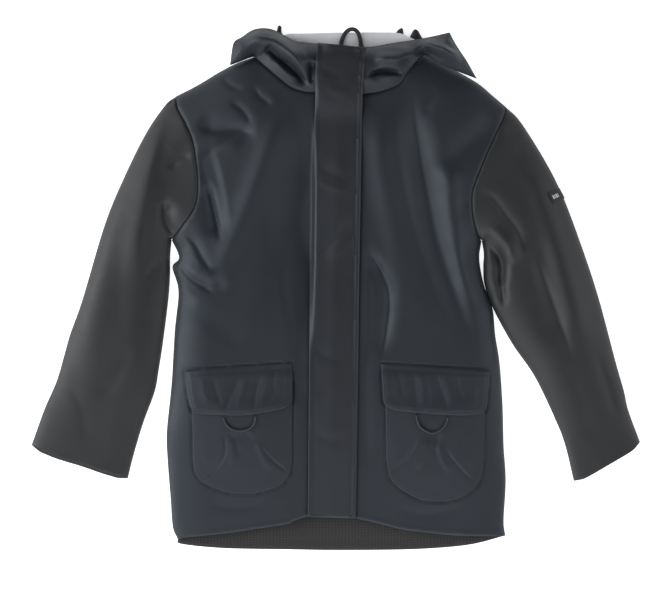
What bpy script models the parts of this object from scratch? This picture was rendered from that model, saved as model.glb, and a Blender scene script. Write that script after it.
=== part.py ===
"""Child's hooded raincoat, laid flat on its back with the front up.

+Z is up from the surface, +Y runs from the hem to the neck, right and left are the wearer's.
Tables are in millimetres; the meshes are in metres.
"""

import bpy
import numpy as np
from mathutils import Vector, geometry

MM = 0.001
WALL = 1.5          # cloth wall of every panel
SEAM = 0.15         # each panel stops this short of a seam
LAY = 0.35          # clearance between a panel and what lies on it
EDGE_Z = 3.4        # top of the front cloth at a side fold
DOME = 11.0         # how far the front cloth stands above its side folds
DOME_REACH = 50.0   # distance from a fold to full height
ROLL = 3.0          # rounding of the folded edge
HOOD_RAISE = 8.5    # what the hood folded below lifts the upper back
STEP = 17.0         # spacing of the cloth's points
ACROSS = 10         # spans of an armhole and of a cuff
ALONG = 22          # spans of a sleeve's long edges

NAVY = (0.035, 0.040, 0.052, 1.0)
NAVY_TRIM = (0.028, 0.031, 0.038, 1.0)
KNIT = (0.040, 0.038, 0.038, 1.0)
WHITE = (0.80, 0.81, 0.83, 1.0)
BLACK = (0.010, 0.010, 0.011, 1.0)

# Seams and edges: (number of spans, (x, y) stations from first end to last).
EDGES = {
    "r_outer": (ALONG, [(-168.6, 201.7), (-179.5, 192.9), (-199.2, 164.4), (-221.2, 120.6), (-243.0, 68.1),
                        (-267.2, -12.9), (-280.3, -49.9), (-293.4, -95.8), (-306.5, -126.4), (-320.8, -165.9)]),
    "r_inner": (ALONG, [(-172.8, 50.6), (-174.3, 32.0), (-174.4, 13.3), (-176.2, -12.6), (-181.7, -56.4), (-186.1, -84.8),
                        (-190.5, -109.0), (-202.5, -141.8), (-212.4, -174.6), (-219.0, -200.9)]),
    "r_cuff": (ACROSS, [(-320.8, -165.9), (-295.6, -176.8), (-267.2, -185.6), (-243.0, -193.9), (-219.0, -200.9)]),
    "r_armhole": (ACROSS, [(-168.6, 201.7), (-166.2, 188.7), (-157.3, 171.8), (-150.1, 154.1), (-146.8, 134.8),
                           (-144.7, 113.9), (-146.1, 91.5), (-152.5, 77.0), (-158.9, 68.1), (-172.8, 50.6)]),
    "r_side": (24, [(-172.8, 50.6), (-165.0, 32.0), (-172.0, 22.0), (-165.8, -3.4), (-169.7, -45.5),
                    (-173.0, -100.2), (-178.0, -150.6), (-177.4, -179.0), (-174.0, -222.8), (-171.8, -251.3),
                    (-166.4, -264.8)]),
    "r_shoulder": (9, [(-168.6, 201.7), (-144.5, 214.0), (-122.6, 227.0), (-104.0, 236.5), (-86.0, 243.0)]),
    "r_neck": (8, [(-86.0, 243.0), (-76.0, 234.0), (-61.5, 221.3), (-47.1, 210.3), (-32.3, 205.3),
                   (-21.7, 204.5)]),
    "l_outer": (ALONG, [(179.2, 190.7), (194.5, 175.4), (220.8, 133.8), (240.4, 94.4), (262.3, 35.3),
                        (277.7, -12.6), (295.2, -78.3), (303.9, -109.0), (308.3, -128.6), (320.8, -162.6)]),
    "l_inner": (ALONG, [(153.6, 49.7), (154.6, 28.0), (158.5, 3.0), (167.2, -21.3), (185.7, -58.6),
                        (209.7, -93.7), (231.7, -139.7), (241.6, -165.9), (250.7, -203.6)]),
    "l_cuff": (ACROSS, [(320.8, -162.6), (310.5, -171.4), (288.6, -184.5), (264.5, -198.3), (250.7, -203.6)]),
    "l_armhole": (ACROSS, [(179.2, 190.7), (175.8, 177.6), (159.4, 142.6), (146.3, 109.7), (143.0, 96.6),
                           (144.1, 74.7), (149.0, 56.0), (153.6, 49.7)]),
    "l_side": (24, [(153.6, 49.7), (151.4, 30.0), (156.4, 3.0), (165.2, -21.3), (168.2, -49.9), (172.6, -78.3),
                    (175.8, -122.1), (177.0, -165.9), (179.2, -203.1), (177.0, -244.8), (178.8, -261.0)]),
    "l_shoulder": (9, [(179.2, 190.7), (166.0, 201.7), (148.5, 216.0), (120.0, 232.0), (94.0, 246.0)]),
    "l_neck": (10, [(94.0, 246.0), (83.2, 235.7), (74.2, 223.7), (66.7, 213.2), (46.7, 205.5), (28.3, 202.8)]),
    "r_hem": (11, [(-29.6, -240.2), (-43.5, -244.7), (-51.9, -248.5), (-82.0, -253.1), (-119.4, -258.5),
                   (-154.4, -262.1), (-166.4, -264.8)]),
    "l_hem": (11, [(21.5, -242.4), (44.9, -247.7), (70.3, -254.1), (95.7, -257.3), (127.5, -260.2),
                   (178.8, -261.0)]),
    "free_edge": (20, [(-29.6, -240.2), (-28.4, -100.2), (-27.4, -12.6), (-24.1, 105.3), (-22.6, 170.0),
                       (-21.7, 204.5)]),
    "seam_edge": (20, [(21.5, -242.4), (23.7, -99.8), (24.7, -10.5), (26.9, 127.3), (28.3, 202.8)]),
    "free_edge_top": (5, [(-21.7, 204.5), (-21.3, 230.7), (-19.3, 256.4)]),
    "seam_edge_top": (5, [(28.3, 202.8), (29.8, 228.0), (31.7, 251.8)]),
    "centre": (20, [(-5.0, -241.4), (-1.5, -100.0), (0.0, 50.0), (3.0, 203.6)]),
    "centre_top": (5, [(3.0, 203.6), (6.2, 254.2)]),
    "back_hem": (18, [(-166.4, -264.8), (-162.8, -269.7), (-118.3, -274.2), (-45.9, -275.6), (4.5, -276.3),
                      (83.0, -275.3), (140.2, -270.6), (178.8, -261.0)]),
    "back_neck": (8, [(-86.0, 243.0), (-40.0, 249.0), (6.0, 251.5), (50.0, 251.0), (94.0, 246.0)]),
    "r_wing_top": (13, [(-19.3, 256.4), (-34.0, 258.2), (-42.5, 259.4), (-64.1, 270.7), (-76.7, 273.0),
                        (-88.0, 270.7), (-98.3, 263.9), (-107.5, 257.0), (-108.5, 238.5)]),
    "r_wing_low": (4, [(-108.5, 238.5), (-98.0, 243.0), (-86.0, 246.5), (-84.5, 244.0)]),
    "l_wing_top": (10, [(31.7, 251.8), (41.0, 253.6), (58.7, 257.1), (92.5, 262.5), (119.5, 268.5)]),
    "l_wing_out": (5, [(119.5, 268.5), (127.5, 253.5), (138.2, 237.2), (148.5, 219.5)]),
    "l_wing_low": (6, [(148.5, 219.5), (125.0, 228.0), (106.9, 236.0), (94.0, 246.0)]),
}

# Pockets and flaps: outline stations, anticlockwise from the top left.
PATCHES = {
    "pocket_right": (26, [(-151.8, -98.0), (-149.4, -193.8), (-139.7, -203.9), (-115.1, -214.1), (-96.9, -215.8),
                          (-79.7, -214.6), (-54.0, -203.9), (-45.5, -190.6), (-45.5, -98.0)]),
    "flap_right": (22, [(-158.5, -86.1), (-156.9, -102.7), (-152.6, -126.3), (-144.0, -132.7), (-99.1, -133.8),
                        (-56.2, -126.8), (-45.0, -119.8), (-46.0, -78.6)]),
    "pocket_left": (26, [(51.5, -98.0), (53.5, -190.0), (62.0, -206.0), (85.0, -220.6), (104.6, -224.0),
                         (126.6, -221.8), (144.1, -211.9), (152.8, -198.8), (156.0, -176.8), (156.2, -98.0)]),
    "flap_left": (22, [(47.6, -79.2), (49.8, -119.8), (62.6, -128.4), (105.5, -132.7), (132.2, -133.8),
                       (150.5, -133.2), (158.5, -126.3), (161.5, -86.1)]),
}

# Folds of the front cloth: height, half width, stations of the crest or trough.
FOLDS = [
    (4.0, 13.0, [(-52.6, 197.3), (-67.9, 160.0), (-89.7, 94.4), (-122.6, 17.7), (-133.5, -4.2)]),
    (-3.0, 14.0, [(-34.0, 190.0), (-40.0, 120.0), (-60.0, 40.0), (-50.0, -40.0)]),
    (-3.0, 9.0, [(-137.9, 109.7), (-131.0, 80.0), (-124.8, 50.6)]),
    (-3.0, 10.0, [(-146.7, 173.3), (-110.0, 165.0), (-81.0, 164.0)]),
    (2.5, 9.0, [(-164.0, 24.0), (-150.0, 14.0), (-124.0, 12.0)]),
    (-2.0, 8.0, [(-165.0, 5.0), (-140.0, 0.0), (-112.0, 8.0)]),
    (3.5, 11.0, [(-176.0, 185.0), (-190.5, 149.0), (-199.2, 105.3), (-205.9, 61.5), (-209.0, -4.0)]),
    (-3.0, 13.0, [(-205.0, 120.0), (-226.0, 50.0), (-240.0, -20.0), (-250.0, -90.0)]),
    (-4.5, 8.0, [(-166.0, 52.0), (-177.0, 66.0), (-178.0, 92.0)]),
    (3.0, 14.0, [(45.0, 190.0), (48.0, 120.0), (62.0, 60.0), (74.0, 0.0)]),
    (-4.0, 12.0, [(71.9, 199.5), (85.0, 144.7), (95.9, 94.4), (106.8, 54.9), (122.2, 11.1), (152.8, -73.9)]),
    (-3.0, 8.0, [(28.0, 39.6), (47.7, 17.7), (56.5, -10.7), (47.7, -78.3)]),
    (-2.5, 15.0, [(174.8, 175.4), (140.0, 148.0), (104.6, 120.6)]),
    (3.5, 10.0, [(118.0, 160.0), (122.0, 90.0), (134.0, 20.0), (150.0, -30.0)]),
    (4.0, 8.0, [(151.8, 50.0), (163.8, 54.8), (181.3, 44.1), (186.6, 22.7)]),
    (-3.5, 8.0, [(158.0, 36.0), (170.0, 30.0), (172.0, 0.0)]),
    (3.0, 12.0, [(185.0, 175.0), (215.0, 100.0), (238.0, 20.0), (262.0, -80.0)]),
    (-2.5, 12.0, [(210.0, 60.0), (222.0, 0.0), (238.0, -60.0)]),
]

# Folds of the hood where it rolls over the shoulders.
HOOD_FOLDS = [
    (7.0, 9.0, [(-98.0, 252.0), (-78.0, 262.0), (-58.0, 254.0), (-43.0, 240.0), (-32.0, 218.0)]),
    (-6.0, 5.0, [(-84.0, 249.0), (-68.0, 249.0), (-58.0, 241.0), (-46.0, 231.0), (-36.0, 218.0), (-28.0, 208.0)]),
    (-5.0, 5.0, [(-25.0, 238.0), (-25.0, 212.0)]),
    (-4.0, 5.0, [(32.0, 221.0), (48.0, 227.0), (62.0, 226.0), (74.0, 221.0)]),
    (5.0, 7.0, [(86.0, 259.0), (110.0, 250.0), (134.0, 238.0)]),
    (4.0, 8.0, [(40.0, 240.0), (64.0, 240.0), (84.0, 250.0)]),
]

# Cord loops below the flaps: stations of the centre line.
LOOP_DIAMETER = 2.2
LOOPS = {
    "loop_right": [(-117.8, -136.2), (-115.6, -142.0), (-109.8, -147.6), (-100.1, -150.0), (-90.5, -147.6),
                   (-85.4, -142.0), (-83.8, -135.0)],
    "loop_left": [(84.6, -133.8), (85.6, -139.5), (89.4, -146.5), (101.0, -152.4), (111.6, -147.7),
                  (116.2, -141.0), (117.6, -136.2)],
}

# The hood folded below the back: outline with the corners that reach past the lining.
HOOD_BACK = [(-90.0, 176.0), (20.0, 170.0), (120.0, 178.0), (124.0, 240.0), (104.0, 256.0), (92.7, 262.0),
             (86.5, 271.5), (82.0, 272.0), (76.0, 262.0), (72.6, 263.0), (70.6, 273.6), (66.0, 272.5),
             (55.5, 263.6), (20.0, 262.0), (-40.0, 262.0), (-55.4, 267.0), (-57.0, 275.6), (-61.0, 276.3),
             (-64.5, 268.0), (-84.0, 258.0)]
HOOD_LAYERS = [(0.0, 1.6), (0.8, 0.2), (2.4, 0.2), (2.8, 1.3), (3.2, 0.2), (4.6, 0.2), (5.0, 1.6)]

LINING = [(-60.0, 251.0), (-20.0, 252.2), (20.0, 252.8), (52.0, 252.4), (88.0, 249.2), (86.0, 259.0), (78.0, 263.5),
          (64.0, 268.5), (20.0, 269.0), (-30.0, 268.0), (-54.0, 266.0)]

HANGER = [(4.8, 252.0), (7.0, 262.0), (11.5, 269.5), (17.3, 272.0), (22.5, 269.5), (25.5, 262.0), (27.0, 252.0)]
HANGER_WIDTH = 4.4

# Label round the left sleeve's outer fold: distance from its inner end, lift, along the band.
LABEL_INNER = ((221.3, 100.1), (227.8, 87.3))
LABEL_OUTER = ((238.2, 106.2), (243.4, 95.4))


# ---- curves -----------------------------------------------------------------------------------

def curve_through(points, spans):
    """Smooth open curve through the points, as spans + 1 points evenly spaced along its length."""
    p = np.array(points, float)
    if len(p) > 2:
        ends = np.vstack([2 * p[0] - p[1], p, 2 * p[-1] - p[-2]])
        dense = []
        for i in range(1, len(ends) - 2):
            a, b, c, d = ends[i - 1:i + 3]
            for t in np.linspace(0, 1, 16, endpoint=False):
                dense.append(0.5 * (2 * b + (c - a) * t + (2 * a - 5 * b + 4 * c - d) * t * t
                                    + (3 * b - a - 3 * c + d) * t ** 3))
        p = np.array(dense + [p[-1]])
    run = np.concatenate([[0], np.cumsum(np.linalg.norm(np.diff(p, axis=0), axis=1))])
    where = np.linspace(0, 1, spans + 1)
    return np.column_stack([np.interp(where * run[-1], run, p[:, k]) for k in range(p.shape[1])])


CURVES = {name: curve_through(points, spans) for name, (spans, points) in EDGES.items()}


def loop_of(*parts):
    """One closed outline from curve names; a name that starts with - runs backwards."""
    rows = []
    for part in parts:
        c = CURVES[part.lstrip("-")]
        c = c[::-1] if part.startswith("-") else c
        rows.extend(c[:-1])
    return np.array(rows)


def distance_to(points, line):
    """Distance from each point to a polyline, and where along it from 0 to 1 the nearest place is."""
    line = np.asarray(line, float)
    a, b = line[:-1], line[1:]
    d = b - a
    length = np.linalg.norm(d, axis=1)
    run = np.concatenate([[0], np.cumsum(length)])
    rel = points[:, None, :] - a[None]
    t = np.clip((rel * d).sum(2) / np.maximum(length ** 2, 1e-9), 0, 1)
    gap = np.linalg.norm(rel - t[..., None] * d, axis=2)
    k = gap.argmin(1)
    rows = np.arange(len(points))
    return gap[rows, k], (run[k] + t[rows, k] * length[k]) / run[-1]


def inside(points, outline):
    """Which points lie inside a closed outline."""
    x, y = points[:, 0:1], points[:, 1:2]
    a, b = outline, np.roll(outline, -1, axis=0)
    crosses = (a[:, 1] > y) != (b[:, 1] > y)
    rise = np.where(np.abs(b[:, 1] - a[:, 1]) < 1e-9, 1e-9, b[:, 1] - a[:, 1])
    at = a[:, 0] + (y - a[:, 1]) * (b[:, 0] - a[:, 0]) / rise
    return ((crosses & (x < at)).sum(1) % 2) == 1


def ease(x):
    x = np.clip(x, 0, 1)
    return x * x * (3 - 2 * x)


# ---- the form of the cloth ---------------------------------------------------------------------

FREE = ["r_outer", "r_inner", "r_side", "r_shoulder", "l_outer", "l_inner", "l_side", "l_shoulder"]


def fold_height(points, table):
    total = np.zeros(len(points))
    for height, width, stations in table:
        gap, along = distance_to(points, curve_through(stations, 14))
        total += height * np.exp(-(gap / width) ** 2) * ease(4 * along) * ease(4 * (1 - along))
    return total


def hood_lift(points):
    """How far the folded hood raises what lies over it."""
    x, y = points[:, 0], points[:, 1]
    return HOOD_RAISE * ease((x + 122) / 30) * ease((154 - x) / 30) * ease((y - 140) / 34)


def front_height(points):
    """Top of the front cloth and sleeves above the surface."""
    gap = np.min([distance_to(points, CURVES[n])[0] for n in FREE], axis=0)
    cuff = np.minimum(distance_to(points, CURVES["r_cuff"])[0], distance_to(points, CURVES["l_cuff"])[0])
    hem = np.minimum(distance_to(points, CURVES["r_hem"])[0], distance_to(points, CURVES["l_hem"])[0])
    low = (0.35 + 0.65 * ease(cuff / 150)) * (0.45 + 0.55 * ease(hem / 160))
    dome = DOME * (1 - (1 - np.clip(gap / DOME_REACH, 0, 1)) ** 2.2)
    folds = fold_height(points, FOLDS) * ease(gap / 22)
    return EDGE_Z + ROLL * (1 - np.exp(-gap / 3)) + (dome + folds) * low + hood_lift(points)


HOOD_FREE = ["r_wing_top", "r_wing_low", "l_wing_top", "l_wing_out", "l_wing_low"]


def hood_height(points):
    """Top of the hood sides, which start at the neck seam and roll outwards."""
    gap = np.min([distance_to(points, CURVES[n])[0] for n in HOOD_FREE], axis=0)
    neck = np.minimum(distance_to(points, CURVES["r_neck"])[0], distance_to(points, CURVES["l_neck"][3:])[0])
    neck = np.where(np.abs(points[:, 0]) < 30, np.minimum(neck, np.abs(points[:, 1] - 203.5)), neck)
    tips = np.minimum(np.hypot(points[:, 0] + 108.5, points[:, 1] - 240),
                      np.hypot(points[:, 0] - 148.5, points[:, 1] - 219.5))
    base = 17 + 5 * ease((264 - points[:, 1]) / 22) - 7 * np.exp(-(tips / 20) ** 2)
    rolled = base + 12 * (1 - (1 - np.clip(gap / 20, 0, 1)) ** 2.2) + fold_height(points, HOOD_FOLDS) * ease(gap / 6)
    part = ease(neck / 16)
    return front_height(points) * (1 - part) + rolled * part


def upper_height(points):
    """The cloth that the placket lies on: fronts up to the neck seam, then the hood."""
    return np.where(points[:, 1] > 203.5, hood_height(points), front_height(points))


def back_height(points):
    return WALL + hood_lift(points)


def floor_height(points):
    return np.zeros(len(points))


def normals_of(field, points):
    h = 1.5
    dx = (field(points + [h, 0]) - field(points - [h, 0])) / (2 * h)
    dy = (field(points + [0, h]) - field(points - [0, h])) / (2 * h)
    n = np.column_stack([-dx, -dy, np.ones(len(points))])
    return n / np.linalg.norm(n, axis=1)[:, None]


# ---- the cut ----------------------------------------------------------------------------------

def cut_plan(lines, step, reach, finer=()):
    """Triangles over the whole plan that follow every line. finer holds (outline, step) areas."""
    rows, edges = [], []
    index = {}

    def add(p):
        key = (round(p[0], 2), round(p[1], 2))
        if key not in index:
            index[key] = len(rows)
            rows.append(p)
        return index[key]

    for line in lines:
        ids = [add(p) for p in line]
        edges += [(a, b) for a, b in zip(ids, ids[1:]) if a != b]
    (x0, y0), (x1, y1) = reach

    def grid(s):
        found = []
        for j, y in enumerate(np.arange(y0, y1, s * 0.87)):
            found += [(x, y) for x in np.arange(x0 + (j % 2) * s / 2, x1, s)]
        return np.array(found)

    def clear(points, s):
        keep = np.ones(len(points), bool)
        for line in lines:
            keep &= distance_to(points, line)[0] > 0.5 * s
        return points[keep]

    coarse = clear(grid(step), step)
    for outline, s in finer:
        coarse = coarse[~inside(coarse, outline)]
        fine = grid(s)
        fine = clear(fine[inside(fine, outline)], s)
        rows += [tuple(p) for p in fine]
    rows += [tuple(p) for p in coarse]
    verts = [Vector((float(p[0]), float(p[1]))) for p in rows]
    v, _, f, *_ = geometry.delaunay_2d_cdt(verts, edges, [], 0, 1e-4, False)
    return np.array([tuple(p) for p in v]), np.array([tuple(t) for t in f])


def inward_normals(points, rim):
    """For each point of a piece's rim, the step that moves both of its rim edges in by 1."""
    after = dict(rim)
    before = {b: a for a, b in rim}
    found = {}
    for v in sorted(after):
        e1, e2 = points[v] - points[before[v]], points[after[v]] - points[v]
        n1 = np.array([-e1[1], e1[0]]) / np.linalg.norm(e1)
        n2 = np.array([-e2[1], e2[0]]) / np.linalg.norm(e2)
        n = n1 + n2
        n /= max(np.linalg.norm(n), 0.4)
        found[v] = n / max(float(n @ n1), 0.5)
    return found


def cut_piece(plan, outline):
    """The plan's triangles inside an outline, pulled in a little at the outline."""
    points, faces = plan
    faces = faces[inside(points[faces].mean(1), outline)]
    a, b, c = points[faces[:, 0]], points[faces[:, 1]], points[faces[:, 2]]
    turn = (b[:, 0] - a[:, 0]) * (c[:, 1] - a[:, 1]) - (b[:, 1] - a[:, 1]) * (c[:, 0] - a[:, 0])
    faces = np.where((turn < 0)[:, None], faces[:, ::-1], faces)
    used = np.unique(faces)
    renumber = np.full(len(points), -1)
    renumber[used] = np.arange(len(used))
    faces, points = renumber[faces], points[used].copy()
    directed = {(int(t[i]), int(t[(i + 1) % 3])) for t in faces for i in range(3)}
    rim = [(a, b) for a, b in directed if (b, a) not in directed]
    moved = points.copy()
    rim = sorted(rim)
    for v, n in inward_normals(points, rim).items():
        moved[v] = points[v] + n * SEAM
    return moved, faces, rim


def two_sheets(name, piece, field, lift, wall, material):
    """A closed panel: the piece raised to the field, moved out by lift and given its wall."""
    points, faces, rim = piece
    z = field(points)
    n = normals_of(field, points)
    base = np.column_stack([points, z])
    low = lift(points) if callable(lift) else np.full(len(points), lift)
    top = base + n * (low + wall)[:, None]
    bottom = base + n * low[:, None]
    m = len(points)
    tris = [tuple(t) for t in faces] + [tuple(t[::-1] + m) for t in faces]
    for a, b in rim:
        tris += [(b, a, a + m), (b, a + m, b + m)]
    return solid(name, np.vstack([top, bottom]), tris, material)


def solid(name, points, faces, material):
    mesh = bpy.data.meshes.new(name)
    mesh.from_pydata([tuple(float(c) * MM for c in p) for p in points], [],
                     [tuple(int(i) for i in f) for f in faces])
    mesh.update()
    obj = bpy.data.objects.new(name, mesh)
    bpy.context.scene.collection.objects.link(obj)
    mesh.materials.append(material)
    for polygon in mesh.polygons:
        polygon.use_smooth = True
    return obj


def material_for(name, colour, roughness):
    m = bpy.data.materials.new(name)
    m.use_nodes = True
    shader = m.node_tree.nodes["Principled BSDF"]
    shader.inputs["Base Color"].default_value = colour
    shader.inputs["Roughness"].default_value = roughness
    return m


# ---- pieces -----------------------------------------------------------------------------------

def patch_outline(name):
    spans, points = PATCHES[name]
    sharp = [points[0]] + list(map(tuple, curve_through(points, spans)[1:-1])) + [points[-1]]
    return np.array(sharp + [points[0]])


PATCH_OUTLINES = {name: patch_outline(name) for name in PATCHES}


def pocket_lift(points):
    """How far a pocket stands off the front below it."""
    rise = np.full(len(points), LAY)
    for name in ("pocket_right", "pocket_left"):
        gap, _ = distance_to(points, PATCH_OUTLINES[name])
        rise += np.where(inside(points, PATCH_OUTLINES[name][:-1]), 2.0 * ease(gap / 26), 0)
    return rise


def flap_lift(points):
    """The flap lies on the front at its top seam and on the pocket below."""
    over = pocket_lift(points) + WALL + LAY
    part = ease((-81.0 - points[:, 1]) / 13)
    return LAY * (1 - part) + (over + 0.5) * part


def whole_front():
    """Every seam and edge of the upper cloth, in one plan, so that pieces share their points."""
    names = [n for n in EDGES if not n.startswith("back_")]
    lines = [CURVES[n] for n in names] + list(PATCH_OUTLINES.values())
    lines.append(np.array([CURVES["free_edge_top"][-1], CURVES["centre_top"][-1], CURVES["seam_edge_top"][-1]]))
    lines.append(np.array([CURVES["r_hem"][0], CURVES["centre"][0], CURVES["seam_edge"][0]]))
    lines.append(np.array([CURVES["r_neck"][-1], CURVES["centre"][-1], CURVES["l_neck"][-1]]))
    hood_area = np.array([(-125, 200), (160, 200), (160, 280), (-125, 280)], float)
    return cut_plan(lines, STEP, ((-330.0, -285.0), (330.0, 285.0)), [(hood_area, 9.0)])


def front_outlines():
    right = loop_of("r_shoulder", "r_neck")
    right = np.vstack([CURVES["centre"][0], CURVES["r_hem"][:-1], CURVES["r_side"][::-1][:-1],
                       CURVES["r_armhole"][::-1][:-1], right, CURVES["r_neck"][-1], CURVES["centre"][::-1][:-1]])
    left = np.vstack([CURVES["centre"][:-1], CURVES["centre"][-1], CURVES["l_neck"][::-1][:-1],
                      CURVES["l_shoulder"][::-1][:-1], CURVES["l_armhole"][:-1], CURVES["l_side"][:-1],
                      CURVES["l_hem"][::-1]])
    return right, left


def make_sleeve(name, side, plan, material):
    """The sleeve's upper and lower cloth, which meet along its two folds and stay open between them."""
    outline = np.vstack([CURVES[side + "_armhole"][::-1][:-1], CURVES[side + "_outer"][:-1],
                         CURVES[side + "_cuff"][:-1], CURVES[side + "_inner"][::-1][:-1]])
    piece = cut_piece(plan, outline)
    two_sheets(name, piece, front_height, -WALL, WALL, material)
    two_sheets(name + "_under", piece, floor_height, 0.0, WALL, material)


def slab(name, outline, levels, material, top):
    """A closed slab of layers: levels are (height, inset) rows of its rim, and top(points) gives its upper face."""
    outline = np.array(outline, float)
    plan = cut_plan([np.vstack([outline, outline[:1]])], 30.0, (outline.min(0), outline.max(0)))
    points, faces, rim = cut_piece(plan, outline)
    after = dict(rim)
    loop = [rim[0][0]]
    while after[loop[-1]] != loop[0]:
        loop.append(after[loop[-1]])
    edge = points[loop]
    ahead = np.roll(edge, -1, axis=0) - np.roll(edge, 1, axis=0)
    inward = np.column_stack([-ahead[:, 1], ahead[:, 0]]) / np.linalg.norm(ahead, axis=1)[:, None]
    m, n = len(points), len(loop)
    lower, upper = points.copy(), points.copy()
    lower[loop] = edge + inward * levels[0][1]
    upper[loop] = edge + inward * levels[-1][1]
    rows = [(*p, 0.0) for p in lower] + [(*p, float(z)) for p, z in zip(upper, top(upper))]
    tris = [tuple(t[::-1]) for t in faces] + [tuple(t + m) for t in faces]
    for i in loop:
        rows[m + i] = (*upper[i], levels[-1][0])
    rings = [loop]
    for height, inset in levels[1:-1]:
        rings.append([len(rows) + k for k in range(n)])
        rows += [(*p, height) for p in edge + inward * inset]
    rings.append([m + i for i in loop])
    for below, above in zip(rings, rings[1:]):
        for j in range(n):
            k = (j + 1) % n
            tris += [(below[j], below[k], above[k]), (below[j], above[k], above[j])]
    return solid(name, rows, tris, material)


def tube(name, line, radius, material):
    """A round cord along a line of 3-D points."""
    curve = bpy.data.curves.new(name, "CURVE")
    curve.dimensions = "3D"
    curve.bevel_depth = radius * MM
    curve.bevel_resolution = 2
    curve.use_fill_caps = True
    spline = curve.splines.new("POLY")
    spline.points.add(len(line) - 1)
    for point, p in zip(spline.points, line):
        point.co = (*(float(c) * MM for c in p), 1.0)
    obj = bpy.data.objects.new(name, curve)
    bpy.context.scene.collection.objects.link(obj)
    curve.materials.append(material)
    return obj


def ribbon(name, line, width, wall, z, material):
    """A flat tape bent in the plan along a line, lying level."""
    line = np.array(line, float)
    points, faces = [], []
    for i, p in enumerate(line):
        ahead = line[min(i + 1, len(line) - 1)] - line[max(i - 1, 0)]
        side = np.array([-ahead[1], ahead[0]]) / np.linalg.norm(ahead) * width / 2
        for s, h in ((side, z), (-side, z), (-side, z + wall), (side, z + wall)):
            points.append((p[0] + s[0], p[1] + s[1], h))
    for i in range(len(line) - 1):
        for j in range(4):
            a, b = 4 * i + j, 4 * i + (j + 1) % 4
            faces += [(a, a + 4, b + 4), (a, b + 4, b)]
    last = 4 * (len(line) - 1)
    faces += [(0, 1, 2), (0, 2, 3), (last, last + 2, last + 1), (last, last + 3, last + 2)]
    return solid(name, points, faces, material)


def make_label(material):
    """A woven label bent over the sleeve's outer fold."""
    rows = []
    for k, t in enumerate((0.0, 0.35, 0.7, 1.0)):
        pair = []
        for a, b in zip(LABEL_INNER, LABEL_OUTER):
            p = (1 - t) * np.array(a) + t * np.array(b)
            z = float(front_height(p[None])[0]) + 0.9 if t < 0.9 else 2.2
            pair.append((*p, z))
        rows.append(pair)
    points, faces = [], []
    out = np.array(LABEL_OUTER[0]) - np.array(LABEL_INNER[0])
    out = np.array([*(out / np.linalg.norm(out)), 0.0])
    thick = [np.array([0, 0, 1.0]), np.array([0, 0, 1.0]), 0.7 * out + [0, 0, 0.8], 1.0 * out]
    for pair, d in zip(rows, thick):
        a, b = np.array(pair[0]), np.array(pair[1])
        points += [tuple(a), tuple(b), tuple(b + d), tuple(a + d)]
    for i in range(3):
        for j in range(4):
            a, b = 4 * i + j, 4 * i + (j + 1) % 4
            faces += [(a, b + 4, b), (a, a + 4, b + 4)]
    faces += [(0, 1, 2), (0, 2, 3), (12, 14, 13), (12, 15, 14)]
    return solid("sleeve_label", points, faces, material)


def hood_back_top(points):
    return np.clip(hood_lift(points) - 0.6, 5.2, None)


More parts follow.
